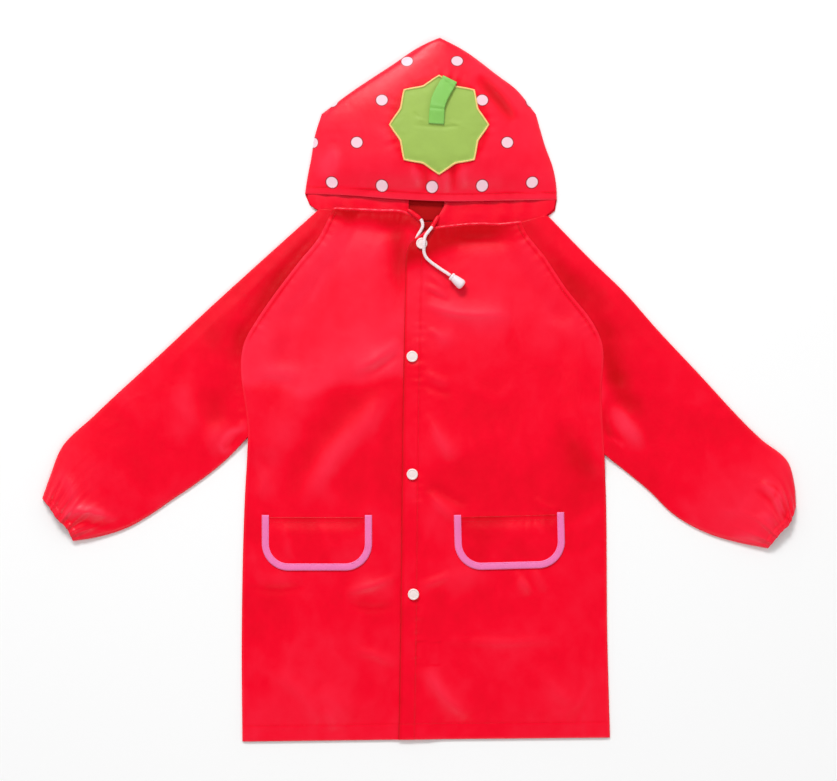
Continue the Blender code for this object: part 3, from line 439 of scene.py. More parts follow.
# Picture
PIXEL = 1.26  # what one pixel of the picture takes in at the cloth
VIEW_WIDTH = 837 * PIXEL
VIEW_CENTRE = (-0.76, -1.23)
CLOTH_LEVEL = 5.0  # height at which the view is that wide
LENS = 85.0
SENSOR = 36.0
FLOOR_SIZE = 8.0  # in metres, as is its level, just under the cloth
FLOOR_LEVEL = -0.0004
DARK_ABOVE = (0.72, 0.93)  # heights in the surroundings over which they turn dark
LIGHTS = (  # name, place and size in metres, and the setting that holds the power
    ("key_light", (-1.0, 4.0, 3.5), (1.8, 1.2), "key_power"),
    ("gloss_light", (-0.2, 1.1, 2.9), (0.5, 0.35), "gloss_power"),
    ("fill_light", (0.9, -3.6, 3.0), (2.4, 2.4), "fill_power"),
)


LINE_STEPS = 14  # places between two points of a smooth line


def smooth(low, high, value):
    """0 below low and 1 above high, with a soft step between them."""
    share = np.clip((value - low) / (high - low), 0.0, 1.0)
    return share * share * (3.0 - 2.0 * share)


def fade(low, high, value):
    """1 below low and 0 above high, with a soft step between them."""
    return 1.0 - smooth(low, high, value)


def arch(share):
    """1 in the middle of a stretch and 0 at its ends."""
    return 4.0 * share * (1.0 - share)


def bell(away, width):
    """1 at no distance, falling softly to nothing over about twice the width."""
    return np.exp(-((away / width) ** 2))


def way_gone(places):
    """Length of the way along a row of places, up to each of them."""
    return np.concatenate(([0.0], np.cumsum(np.linalg.norm(np.diff(places, axis=0), axis=1))))


def headings(places):
    """Unit directions along a row of places."""
    ahead = np.gradient(places, axis=0)
    return ahead / np.linalg.norm(ahead, axis=1)[:, None]


def paired(*parts):
    """Coordinates side by side, as the last axis."""
    return np.stack(np.broadcast_arrays(*parts), axis=-1)


def raised(plan, z):
    """Places of a plan with their heights."""
    return np.concatenate((plan, np.broadcast_to(z, plan.shape[:-1])[..., None]), axis=-1)


class Line:
    """A line through a few points, smooth or straight between them, read by the share of its length."""

    def __init__(self, rows, straight=False):
        knots = np.array(rows, float)
        self.points = knots if straight else self.rounded(knots)
        gone = way_gone(self.points[:, :3])
        self.length = gone[-1]
        self.shares = gone / self.length

    @staticmethod
    def rounded(knots):
        span = np.linalg.norm(np.diff(knots, axis=0), axis=1)[:, None]
        chord = np.diff(knots, axis=0) / span
        slope = np.concatenate((chord[:1], chord[:-1] * span[1:] + chord[1:] * span[:-1], chord[-1:]))
        slope[1:-1] /= span[1:] + span[:-1]
        t = np.linspace(0.0, 1.0, LINE_STEPS, endpoint=False)[None, :, None]
        start, end, length = knots[:-1, None], knots[1:, None], span[:, None]
        curve = (
            (2 * t**3 - 3 * t**2 + 1) * start + (3 * t**2 - 2 * t**3) * end
            + (t**3 - 2 * t**2 + t) * length * slope[:-1, None] + (t**3 - t**2) * length * slope[1:, None]
        )
        return np.concatenate((curve.reshape(-1, knots.shape[1]), knots[-1:]))

    def at(self, share):
        columns = [np.interp(share, self.shares, column) for column in self.points.T]
        return paired(*columns)

    def nearest(self, x, y):
        """Distance of each place from the line, and the share of the line's length where it is nearest."""
        start, run = self.points[:-1], np.diff(self.points, axis=0)
        to = paired(x, y)[..., None, :] - start
        part = np.clip((to * run).sum(-1) / (run * run).sum(-1), 0.0, 1.0)
        away = np.linalg.norm(to - part[..., None] * run, axis=-1)
        best = away.argmin(-1)[..., None]
        share = self.shares[:-1] + part * np.diff(self.shares)
        return np.take_along_axis(away, best, -1)[..., 0], np.take_along_axis(share, best, -1)[..., 0]


class Plan:
    """A four-sided plan between two lines across and two lines along."""

    def __init__(self, near, far, first, last):
        self.near, self.far, self.first, self.last = near, far, first, last

    def at(self, u, v):
        u, v = np.broadcast_arrays(np.asarray(u, float), np.asarray(v, float))
        across, along = u[..., None], v[..., None]
        ruled = (1 - along) * self.near.at(u) + along * self.far.at(u)
        ruled = ruled + (1 - across) * self.first.at(v) + across * self.last.at(v)
        corner = (1 - across) * ((1 - along) * self.near.at(0.0) + along * self.far.at(0.0))
        corner = corner + across * ((1 - along) * self.near.at(1.0) + along * self.far.at(1.0))
        return ruled - corner


def ridge(table, x, y):
    """Height that a table of folds adds at each place."""
    total = np.zeros_like(x)
    for fold in table:
        line = Line(((fold.x0, fold.y0), (fold.xm, fold.ym), (fold.x1, fold.y1)))
        away, share = line.nearest(x, y)
        taper = np.sin(np.pi * np.clip(share, 0.0, 1.0)) ** 0.7
        total += fold.rise * taper * bell(away, fold.width)
    return total


right_edge, left_edge = Line(RIGHT_EDGE), Line(LEFT_EDGE)
placket, underlap = Line(PLACKET), Line(UNDERLAP)
neck_right, neck_left = Line(NECK_RIGHT), Line(NECK_LEFT)
hem_right, hem_left = Line((RIGHT_EDGE[0], PLACKET[0], UNDERLAP[0])), Line((PLACKET[0], LEFT_EDGE[0]))

# Lines of the right and the left front, read by "over", which is true of the left one
Front = namedtuple("Front", "side free neck hem")
FRONTS = (
    Front(right_edge, underlap, neck_right, hem_right), Front(left_edge, placket, neck_left, hem_left),
)


def edge_x(line, y):
    """Where an upright line stands at each height of the plan."""
    return np.interp(y, line.points[:, 1], line.points[:, 0])


def from_nearest(lines, x, y):
    """Distance of each place from the nearest of some lines."""
    return np.minimum.reduce([line.nearest(x, y)[0] for line in lines])


def outside_of(side, x, y):
    """How far a place lies outside the body's side; less than nothing under the body."""
    away = side.nearest(x, y)[0]
    return np.where(np.abs(x) > np.abs(edge_x(side, y)), away, -away)


def box_way(x, y):
    """Distance of each place from the stitched box on the placket, less than nothing inside it."""
    return np.maximum(np.abs(x - BOX_MIDDLE[0]) - BOX_HALF[0], np.abs(y - BOX_MIDDLE[1]) - BOX_HALF[1])


def body_rise(x, y):
    """Loose air and folds that both fronts share, flat at the edges and along the placket."""
    side = from_nearest((right_edge, left_edge), x, y)
    rise = PUFF + ridge(BODY_FOLDS, x, y)
    strip = x - edge_x(placket, y)
    rise = rise * smooth(0.0, STIFF_FADE, np.maximum(PLACKET_STIFF[0] - strip, strip - PLACKET_STIFF[1]))
    rise = rise * smooth(*SIDE_FADE, side) * smooth(0.0, HEM_FADE, y - PLACKET[0][1])
    rise = rise * smooth(0.0, NECK_FADE, NECK_LINE - y)
    return np.maximum(rise, 0.0)


def tuck_rise(x, y):
    """Lift of the fronts where a sleeve is tucked in under them."""
    depth = RAGLAN_LAP + (TUCK_DEPTH - RAGLAN_LAP) * smooth(100.0, 62.0, y)
    side = from_nearest((right_edge, left_edge), x, y)
    along = smooth(TUCK_FOOT - TUCK_FOOT_FADE, TUCK_FOOT, y + 18.0 * (x > 0))
    return TUCK_RISE * along * fade(depth + 3.0, depth + TUCK_FADE, side)


def front_under(x, y, over):
    """Underside of a front; the left front lies over the right one."""
    neck = FRONTS[over].neck.nearest(x, y)[0]
    rise = np.maximum(tuck_rise(x, y), NECK_RISE * fade(NECK_LAP, 30.0, neck))
    if over:
        lap = LAP_RISE * fade(3.0, 28.0, x - edge_x(underlap, y))
        corner = np.hypot(x - CORNER_AT[0], y - CORNER_AT[1])
        rise = np.maximum(rise, lap) + CORNER_RISE * fade(13.0, 50.0, corner)
    return FRONT_BASE + body_rise(x, y) + rise


def front_over(x, y, over):
    return front_under(x, y, over) + CLOTH


def sleeve_heights(plan, u, v, side, table, cuff):
    """Outer heights of a sleeve's lower and upper layer; it thins where it goes in under the body."""
    x, y = plan[..., 0], plan[..., 1]
    outside = outside_of(side, x, y)
    girth = np.interp(v, *zip(*SLEEVE_GIRTH))
    full = SLEEVE_EDGE + (girth - SLEEVE_EDGE) * arch(u) ** 0.6
    lower = FRONT_BASE * fade(8.0, 24.0, outside)
    free = smooth(4.0, 42.0, outside)
    upper = SLEEVE_EDGE + (full - SLEEVE_EDGE + ridge(table, x, y)) * free
    near_cuff = fade(0.0, GATHER_REACH, cuff.nearest(x, y)[0])
    pleats = np.cos(2.0 * np.pi * GATHERS * u) * arch(u) ** 0.4
    upper = upper + GATHER_RISE * near_cuff * pleats
    return lower, lower + np.maximum(upper, 3.0)


hood_right, hood_left = Line(HOOD_RIGHT), Line(HOOD_LEFT)
crown_right, crown_left = Line(HOOD_CROWN_RIGHT), Line(HOOD_CROWN_LEFT)
hood_crown = Line(np.concatenate((crown_right.points, crown_left.points[1:])), straight=True)
HOOD_PEAK_SHARE = crown_right.length / hood_crown.length
hood_outline = (  # each side with its half of the crown, from the brim up
    np.concatenate((hood_right.points, crown_right.points[1:])),
    np.concatenate((hood_left.points, crown_left.points[::-1][1:])),
)


def round_leaf(x, y):
    """Distance and angle of each place from the middle of the patch."""
    along, up = x - LEAF_MIDDLE[0], y - LEAF_MIDDLE[1]
    return np.hypot(along, up), np.arctan2(up, along)


def leaf_radius(angle):
    """Edge of the patch: points evenly round it, with hollow edges between them."""
    turn = (angle / (2.0 * np.pi) * LEAF_POINTS) % 1.0
    return LEAF_RADIUS * (LEAF_WAIST + (1.0 - LEAF_WAIST) * np.abs(1.0 - 2.0 * turn) ** 1.5)


brim = Line(HOOD_BRIM)
cord_ways = (Line([row[:2] for row in LEFT_CORD] + [TOGGLE_TIP]), Line([row[:2] for row in RIGHT_CORD]))


def uneven(x, y, seed, pitch, turn=0.0, stretch=1.0):
    """Soft random heights over the plan, the same on every run, with their lattice turned and stretched."""
    values = np.random.default_rng(seed).uniform(-1.0, 1.0, (LATTICE, LATTICE))
    turn = math.radians(turn)
    along = (x * math.cos(turn) + y * math.sin(turn)) / (pitch * stretch) + LATTICE_SHIFT
    across = (y * math.cos(turn) - x * math.sin(turn)) / pitch + LATTICE_SHIFT
    column, row = np.floor(along).astype(int), np.floor(across).astype(int)
    a, b = smooth(0.0, 1.0, along - column), smooth(0.0, 1.0, across - row)
    low, high = (
        values[(row + j) % LATTICE, column % LATTICE] * (1.0 - a)
        + values[(row + j) % LATTICE, (column + 1) % LATTICE] * a for j in (0, 1)
    )
    return low * (1.0 - b) + high * b


def crumple(x, y, seed, turn=0.0):
    """Low dents and creases, from -1 to about 1, of cloth that has been packed."""
    total = np.zeros_like(x)
    for step, (pitch, share) in enumerate(((66.0, 1.0), (38.0, 0.55), (21.0, 0.3))):
        field = uneven(x, y, seed + step, pitch, turn + 37.0 * step, 1.6)
        patch = smooth(-0.3, 0.7, uneven(x, y, seed + 7 + step, 1.7 * pitch))
        total += share * (0.7 * field + patch * fade(0.0, 0.42, np.abs(field)) - 0.3)
    return total


def seam_relief(away, stitch, raised):
    """Turned-in cloth between an edge and its stitches, which sink in, rolled over at the edge."""
    plateau = raised * fade(stitch - 0.2, stitch + 2.2, away)
    return plateau - STITCH_SINK * bell(away - stitch, 0.9) - 0.55 * fade(0.0, 1.6, away)


def pucker(along, away, stitch, seed, reach=PUCKER_REACH):
    """Small gathers across a line of stitches; along and away are in millimetres."""
    wave = np.sin(along / 1.9 + 1.7 * np.sin(along / 11.0 + seed) + seed)
    wave = wave + 0.7 * np.sin(along / 3.3 + 2.1 * np.sin(along / 17.0 + 2.0 * seed) + 3.0 * seed)
    swell = np.sin(along / 27.0 + seed) + 0.5 * np.sin(along / 61.0 + 2.0 * seed)
    patch = 0.3 + 0.7 * smooth(-0.5, 0.8, swell)
    return PUCKER_RISE * wave * patch * bell(away - stitch, reach)


def seam_marks(line, x, y, stitch, seed, raised=SEAM_RAISE, reach=PUCKER_REACH):
    """Relief and gathers of one stitched edge."""
    away, share = line.nearest(x, y)
    return seam_relief(away, stitch, raised) + pucker(share * line.length, away, stitch, seed, reach)


def flap_axes(side, x, y):
    """Where each place lies across and down a pocket flap, from the middle of its top seam."""
    middle_x, middle_y, tilt = FLAPS[side]
    turn = math.radians(tilt)
    across = (x - middle_x) * math.cos(turn) + (y - middle_y) * math.sin(turn)
    return across, (x - middle_x) * math.sin(turn) - (y - middle_y) * math.cos(turn)


def on_flap(side, x, y):
    """1 on a pocket flap and 0 outside it, with a soft step round it."""
    across, down = flap_axes(side, x, y)
    over_side = np.maximum(np.abs(across) - FLAP_STRAIGHT, 0.0)
    over_foot = np.maximum(down - (FLAP_DEPTH - FLAP_CORNER), 0.0)
    out = np.maximum(np.hypot(over_side, over_foot) - FLAP_CORNER, -down)
    return fade(0.0, 6.0, out)


def front_marks(x, y, over):
    """What sewing, packing and wear add to a front's height."""
    front = FRONTS[over]
    side, hem, neck = (line.nearest(x, y)[0] for line in (front.side, front.hem, front.neck))
    strip = x - edge_x(placket, y)
    raglan = smooth(*RAGLAN_FOOT, y)
    marks = raglan * seam_marks(front.side, x, y, RAGLAN_STITCH, 1.0 + over)
    marks = marks - (1.0 - raglan) * 1.1 * fade(0.0, 3.0, side)
    marks += seam_marks(front.hem, x, y, HEM_STITCH, 4.0 + over, 0.3)
    marks += seam_marks(front.neck, x, y, NECK_STITCH, 6.0 + over, 0.6, 13.0)
    inside = smooth(3.0, 16.0, side) * smooth(4.0, 20.0, hem) * smooth(2.0, 12.0, neck)
    if over:
        marks += seam_marks(front.free, x, y, PLACKET_STITCH, 9.0, 0.5, 7.0)
        away = np.minimum.reduce([np.hypot(x - snap_x, y - snap_y) for snap_x, snap_y in SNAPS])
        marks -= 0.5 * fade(6.0, 13.0, away)
        marks -= 0.22 * bell(box_way(x, y), 0.9)
        quiet = 0.35 + 0.65 * smooth(18.0, 34.0, strip)
    else:
        quiet = fade(-9.0, -2.0, strip)
        marks = marks * quiet
    marks += inside * quiet * (CRUMPLE * crumple(x, y, 20 + 5 * over, 25.0) + 1.4 * ridge(BODY_CREASES, x, y))
    for flap in FLAPS:
        marks = marks * (1.0 - 0.85 * on_flap(flap, x, y))
    return marks * (0.15 + 0.85 * smooth(5.0, 14.0, from_nearest(cord_ways, x, y)))


def painted_fold_light(table, x, y, seed, turn):
    """Painted highlights on fold crests and painted shade in their hollows and in the packing creases."""
    return 0.26 * ridge(table, x, y) + 0.20 * crumple(x, y, seed, turn)


def front_painted_light(x, y, over):
    """Painted highlights and painted shade in a front's red, from -1 to 1: a paler chest and hem, pale fold
    crests, dark lines at the stitches and the placket's edge, a pale neck seam with painted shade below it.
    """
    front = FRONTS[over]
    side, hem, neck = (line.nearest(x, y)[0] for line in (front.side, front.hem, front.neck))
    bound = y + 9.0 * np.sin(x / 31.0) + 5.0 * np.sin(x / 12.0 + 1.0)
    tone = 0.42 * smooth(20.0, 96.0, bound) if over else 0.62 * smooth(-4.0, 14.0, bound)
    tone = tone + 0.22 * smooth(-250.0, -330.0, bound)
    tone = tone + painted_fold_light((*BODY_FOLDS, *BODY_CREASES), x, y, 20 + 5 * over, 25.0)
    tone = tone - 0.75 * bell(side - RAGLAN_STITCH, 1.1) * smooth(*RAGLAN_FOOT, y)
    tone = tone - 0.2 * bell(hem - HEM_STITCH, 1.1) + 0.45 * bell(neck, 1.6)
    # Painted shade below the neck seam, and beside the placket's top on the right front.
    loose = neck + 5.0 * np.sin(x / 23.0) + 3.0 * np.sin(x / 9.0 + 2.0)
    if over:
        painted_neck_shade = 1.4 * smooth(46.0, 20.0, loose + 20.0 * smooth(45.0, 85.0, x)) * smooth(180.0, 60.0, x)
    else:
        beside = 1.2 * bell(x + 26.0, 15.0) * smooth(110.0, 36.0, loose)
        painted_neck_shade = np.maximum(1.45 * smooth(30.0, 8.0, loose), beside)
    tone = tone - painted_neck_shade * smooth(1.0, 4.0, neck)
    if over:
        tone = tone - 0.3 * bell(box_way(x, y), 1.1)
        # Painted shadow along the placket's edge, and painted shade in its stitch groove.
        strip = x - edge_x(placket, y)
        tone = tone - 1.2 * bell(strip, 1.6) - 0.3 * bell(strip - PLACKET_STITCH, 1.1)
    return np.clip(tone, -1.0, 1.0)


def front_surface(x, y, over):
    return front_over(x, y, over) + front_marks(x, y, over)


class Sleeve:
    """A sleeve's plan, and the outer heights of its two layers."""

    def __init__(self, side, top, foot, armhole, cuff, folded, creases, seed, cuff_painted_sheen):
        self.side, self.folds, self.creases = side, folded, creases
        self.top, self.foot, self.cuff = Line(top), Line(foot), Line(cuff)
        self.plan = Plan(Line(armhole, straight=True), self.cuff, self.top, self.foot)
        self.seed, self.cuff_painted_sheen = seed, cuff_painted_sheen

    def surface(self, u, v):
        spots = self.plan.at(u, v)
        x, y = spots[..., 0], spots[..., 1]
        u, v = np.broadcast_to(u, x.shape), np.broadcast_to(v, x.shape)
        lower, upper = sleeve_heights(spots, u, v, self.side, self.folds, self.cuff)
        outside = outside_of(self.side, x, y)
        free = smooth(1.0, 12.0, outside)
        from_cuff = self.cuff.nearest(x, y)[0]
        width = np.linalg.norm(self.top.at(v) - self.foot.at(v), axis=-1)
        from_fold = width * np.minimum(u, 1.0 - u)
        bend = 2.0 * np.pi * u
        gathers = np.cos(11.0 * bend + 1.9 * np.sin(bend + self.seed) + 0.02 * from_cuff)
        gathers = gathers + 0.5 * np.cos(17.0 * bend + 2.3 * np.sin(2.0 * bend + self.seed))
        reach = bell(from_cuff, 26.0) + 0.35 * bell(from_cuff, 60.0)
        marks = 0.36 * gathers * reach * smooth(0.0, 0.12, arch(u))
        marks -= 0.9 * bell(from_cuff - CUFF_STITCH, 1.7)
        marks -= 0.6 * fade(0.0, 2.0, from_cuff)
        creases = ridge(self.creases, x, y) + CRUMPLE * 1.5 * crumple(x, y, int(self.seed) + 40, 130.0)
        marks += free * smooth(1.0, 14.0, from_fold) * creases
        roll = smooth(3.0, 27.0, outside) * fade(44.0, 120.0, outside) * smooth(-30.0, 60.0, y)
        marks += 2.4 * roll * smooth(0.0, 22.0, from_fold)
        upper = upper + np.where(outside > 2.0, marks, 0.0) * smooth(2.0, 8.0, outside)
        away, share = self.side.nearest(x, y)
        drawn = pucker(share * self.side.length, away, 0.0, 3.0 + self.seed)
        upper = upper + drawn * smooth(1.0, 5.0, outside)
        lower = lower + np.clip(0.5 * (1.0 + np.cos(7.0 * bend)), 0.0, 1.0) * reach * 0.9
        turn = rolled(from_fold)
        edge = lower + FOLD_MIDDLE
        return spots, edge + (lower - edge) * turn, edge + (upper - edge) * turn


def sleeve_painted_light(sleeve, spots):
    """Painted highlights and painted shade in a sleeve's red, with painted shade where it dips beside the
    raglan seam and a painted sheen towards the cuff.
    """
    x, y = spots[..., 0], spots[..., 1]
    outside = outside_of(sleeve.side, x, y)
    from_cuff = sleeve.cuff.nearest(x, y)[0]
    tone = painted_fold_light((*sleeve.folds, *sleeve.creases), x, y, int(sleeve.seed) + 40, 130.0)
    tone = tone + 0.2 * ridge(sleeve.creases, x, y) + ridge(SLEEVE_PAINTED_LIGHT, x, y)
    painted_dip_shade = fade(4.0, 26.0, outside) * smooth(-20.0, 60.0, y)
    return np.clip(tone - 0.32 * painted_dip_shade + sleeve.cuff_painted_sheen * smooth(150.0, 30.0, from_cuff), -1.0, 1.0)


SLEEVES = {
    "sleeve_right": Sleeve(right_edge, RIGHT_SLEEVE_TOP, RIGHT_SLEEVE_FOOT, RIGHT_ARMHOLE, RIGHT_CUFF,
                           RIGHT_SLEEVE_FOLDS, RIGHT_SLEEVE_CREASES, 1.0, 0.3),
    "sleeve_left": Sleeve(left_edge, LEFT_SLEEVE_TOP, LEFT_SLEEVE_FOOT, LEFT_ARMHOLE, LEFT_CUFF,
                          LEFT_SLEEVE_FOLDS, LEFT_SLEEVE_CREASES, 2.0, 0.55),
}


def hood_painted_light(x, y):
    """Painted highlights and painted shade in the hood's red: palest at its brim, with painted shade at the
    brim's stitches and round the patch.
    """
    away = brim.nearest(x, y)[0]
    tone = 0.42 + 0.45 * ridge((*HOOD_FOLDS, *HOOD_CREASES), x, y) + 0.22 * crumple(x, y, 60, -15.0)
    tone = tone - 0.8 * bell(away - BRIM_STITCH, 0.9) + 0.2 * fade(2.0, BRIM_STITCH, away)
    return np.clip(tone - 0.7 * fade(58.0, 67.0, round_leaf(x, y)[0]), -1.0, 1.0)


def hood_marks(x, y):
    """What the brim's stitches, the patch and wear add to the hood's height."""
    inside = smooth(2.0, 16.0, from_nearest((hood_right, hood_left), x, y))
    inside = inside * smooth(2.0, 14.0, hood_crown.nearest(x, y)[0])
    marks = seam_marks(brim, x, y, BRIM_STITCH, 12.0, 0.45, 12.0)
    away, turn = round_leaf(x, y)
    pulled = np.sin(23.0 * turn + 2.0 * np.sin(5.0 * turn)) + 0.6 * np.sin(37.0 * turn)
    marks += 0.22 * pulled * smooth(54.0, 60.0, away) * fade(62.0, 78.0, away)
    return marks + inside * (ridge(HOOD_CREASES, x, y) + 0.9 * CRUMPLE * crumple(x, y, 60, -15.0))


def hood_dome(x, y):
    """The hood's height without the small folds, rounded where the sides turn into the crown."""
    low, high = (
        sum(np.interp(y + step, side[:, 1], side[:, 0]) for step in HOOD_SPREAD) / len(HOOD_SPREAD)
        for side in hood_outline
    )
    share = np.clip((x - low) / np.maximum(high - low, 1.0), 0.0, 1.0)
    down = (HOOD_CROWN_RIGHT[-1][1] - y) / CROWN_SPAN
    crown = np.sqrt(np.clip((down + 1.0 - np.sqrt((down - 1.0) ** 2 + 0.03)) / 2.0, 0.0, 1.0))
    rise = LIP_RISE + (CROWN_RISE - LIP_RISE) * smooth(*HOOD_SLOPE, y)
    tuck = BRIM_TUCK * fade(0.0, 34.0, brim.nearest(x, y)[0])
    dome = (rise * crown - tuck) * arch(share) ** 0.7
    return HOOD_EDGE + dome + ridge(HOOD_FOLDS, x, y) * smooth(0.02, 0.2, share) * smooth(1.0, 0.8, share)


def hood_surface(x, y):
    return hood_dome(x, y) + hood_marks(x, y)


def rolled(from_edge):
    """Share of the height that a folded edge has risen to, along a quarter circle."""
    return np.sqrt(1.0 - (1.0 - np.clip(from_edge / EDGE_ROUND, 0.0, 1.0)) ** 2)


def graded(length, pitch, marks=()):
    """Shares along a length, a pitch apart, with closer ones by the ends and round each mark."""
    stops = set(np.linspace(0.0, length, int(length / pitch) + 1).round(3))
    close = {0.0, 0.5, 1.1, 1.9}
    for mark in marks:
        close |= {mark + step for step in (-1.9, -0.9, 0.0, 0.9, 1.9)}
    keep = sorted(close | {stop for stop in stops if min(abs(stop - each) for each in close) > 0.45 * pitch})
    return np.array([each for each in keep if each <= length]) / length


def both_ends(length, pitch, near=(), far=()):
    """Shares along a length whose two ends carry their own marks."""
    first = graded(length, pitch, near)
    last = graded(length, pitch, far)
    return np.concatenate((first[first < 0.5], 1.0 - last[last <= 0.5][::-1]))


def grid_faces(rows, columns):
    corner = (np.arange(rows - 1)[:, None] * columns + np.arange(columns - 1)).ravel()
    return paired(corner, corner + 1, corner + columns + 1, corner + columns)


def to_metres(points):
    return (np.asarray(points, float) - (*MIDDLE, 0.0)) * MM


def add_object(name, data):
    """An object of the mesh, lamp or camera, in the scene."""
    added = bpy.data.objects.new(name, data)
    bpy.context.collection.objects.link(added)
    return added


def new_piece(name, points, faces, finishes, flat=None, tone=None):
    """A mesh piece from places in millimetres; flat holds each face corner's place on the flat cloth."""
    mesh = bpy.data.meshes.new(name)
    mesh.from_pydata(to_metres(points).tolist(), [], [tuple(map(int, face)) for face in faces])
    if flat is not None:
        layer = mesh.uv_layers.new(name="cloth")
        layer.data.foreach_set("uv", (np.asarray(flat, float) * MM).ravel())
    # The attribute holds painted highlights and painted shade for the shell's colour.
    if tone is not None:
        layer = mesh.attributes.new("tone", "FLOAT", "POINT")
        layer.data.foreach_set("value", np.ravel(tone).astype(np.float32))
    for finish in finishes:
        mesh.materials.append(finish.material)
    mesh.shade_smooth()
    return add_object(name, mesh)


def select_none():
    for other in bpy.context.view_layer.objects:
        other.select_set(False)


def only(piece):
    """Selects one piece alone and makes it active."""
    select_none()
    piece.select_set(True)
    bpy.context.view_layer.objects.active = piece


def edit(piece, *steps):
    """Runs edit-mode steps on one piece."""
    only(piece)
    bpy.ops.object.mode_set(mode="EDIT")
    for step in steps:
        step()
    bpy.ops.object.mode_set(mode="OBJECT")


def face_outward(piece):
    """Turns the faces of a closed piece outward."""
    edit(piece, lambda: bpy.ops.mesh.select_all(action="SELECT"),
         lambda: bpy.ops.mesh.normals_make_consistent(inside=False))
    return piece


def give_wall(piece, wall, inner_slot=0):
    """Makes a sheet a closed wall that grows away from its outer side."""
    only(piece)
    solid = piece.modifiers.new("wall", "SOLIDIFY")
    solid.thickness = wall
    solid.offset = -1.0
    solid.use_even_offset = False
    solid.material_offset = inner_slot
    bpy.ops.object.modifier_apply(modifier=solid.name)
    piece.data.shade_smooth()
    return piece


def looks_down(points, faces):
    a, b, c = (np.asarray(points)[faces[:, corner]] for corner in (0, 1, 2))
    return np.cross(b - a, c - b)[:, 2].sum() < 0.0


def up_facing(points, faces):
    """The faces, turned where they look down."""
    return faces[:, ::-1] if looks_down(points, faces) else faces


def panel_piece(name, plan, height, wall, finish, flat=None, tone=None):
    """A sheet over a plan of rows and columns at the height of its outer side."""
    points = raised(plan, height(plan[..., 0], plan[..., 1])).reshape(-1, 3)
    faces = up_facing(points, grid_faces(*plan.shape[:2]))
    laid = plan.reshape(-1, 2) if flat is None else np.asarray(flat).reshape(-1, 2)
    return give_wall(new_piece(name, points, faces, [finish], laid[faces].reshape(-1, 2), tone), wall)


def tube_piece(name, spots, lower, upper, wall, finishes, laid, tone, skirt=None):
    """A flattened tube of two layers on one plan, which share the vertices of their folds.

    With a skirt, which carries on the lower layer past its first row, the last row is closed as well.
    """
    rows, columns = spots.shape[:2]
    shared = np.zeros((rows, columns), bool)
    shared[:, [0, -1]] = True
    shared[-1] |= skirt is not None
    top = np.arange(rows * columns).reshape(rows, columns)
    under = np.where(shared, top, top + rows * columns)
    points = np.concatenate([raised(spots, z).reshape(-1, 3) for z in (upper, lower)])
    ring = grid_faces(rows, columns)
    over = up_facing(points, ring)
    below = under.ravel()[over[:, ::-1]]
    faces = np.concatenate((over, below))
    sides = [2.0 * edge[:, None, :] - laid for edge in (laid[:, 0], laid[:, -1])]
    near = (ring % columns).min(axis=1) < columns // 2
    folded = np.where(near[:, None, None], sides[0].reshape(-1, 2)[over[:, ::-1]],
                      sides[1].reshape(-1, 2)[over[:, ::-1]])
    flat = np.concatenate((laid.reshape(-1, 2)[over].reshape(-1, 2), folded.reshape(-1, 2)))
    if skirt is not None:
        start = len(points)
        points = np.concatenate((points, raised(skirt, 0.0).reshape(-1, 3)))
        strip = np.concatenate((under[:1], start + np.arange(skirt.shape[0] * columns).reshape(-1, columns)))
        corners = grid_faces(*strip.shape)
        more = up_facing(points, strip.ravel()[corners])[:, ::-1]
        faces = np.concatenate((faces, more))
        flat = np.concatenate((flat, hood_flat(points[more][..., :2]).reshape(-1, 2)))
    used, faces = np.unique(faces, return_inverse=True)
    tones_and_painted_light = np.concatenate((np.ravel(tone), np.zeros(len(points) - rows * columns)))[used]
    piece = new_piece(name, points[used], faces.reshape(-1, 4), finishes, flat, tones_and_painted_light)
    return give_wall(piece, wall, len(finishes) - 1)


def hood_flat(spots):
    """Where each place of the hood lies on the flat cloth, with the rows of dots evenly apart."""
    x, y = spots[..., 0], spots[..., 1]
    rows = np.arange(-1, len(DOT_ROWS_Y) - 1) * DOT_ROW_PITCH
    turned = smooth(22.0, 0.0, hood_left.nearest(x, y)[0]) - smooth(22.0, 0.0, hood_right.nearest(x, y)[0])
    bowed = y - 5.0 * ((x - DOT_FIRST_X) / 110.0) ** 2 * smooth(330.0, 250.0, y)
    across = x + SIDE_STRETCH * turned * smooth(366.0, 340.0, y)
    return paired(across, np.interp(bowed, DOT_ROWS_Y, rows))


def beside(ahead):
    """Unit directions to the left of some headings."""
    return paired(-ahead[:, 1], ahead[:, 0])


def way_up(line, y):
    """Length of an upright line up to a height of the plan."""
    return np.interp(y, line.points[:, 1], line.shares) * line.length


def along_line(line, inset, step, start, end):
    """Places a step apart along a line, moved to one side, with their headings."""
    stops = np.arange(start + step / 2.0, end, step) / line.length
    ahead = line.at(stops + 0.5 / line.length)[:, :2] - line.at(stops - 0.5 / line.length)[:, :2]
    ahead /= np.linalg.norm(ahead, axis=1)[:, None]
    return line.at(stops)[:, :2] + beside(ahead) * inset, ahead


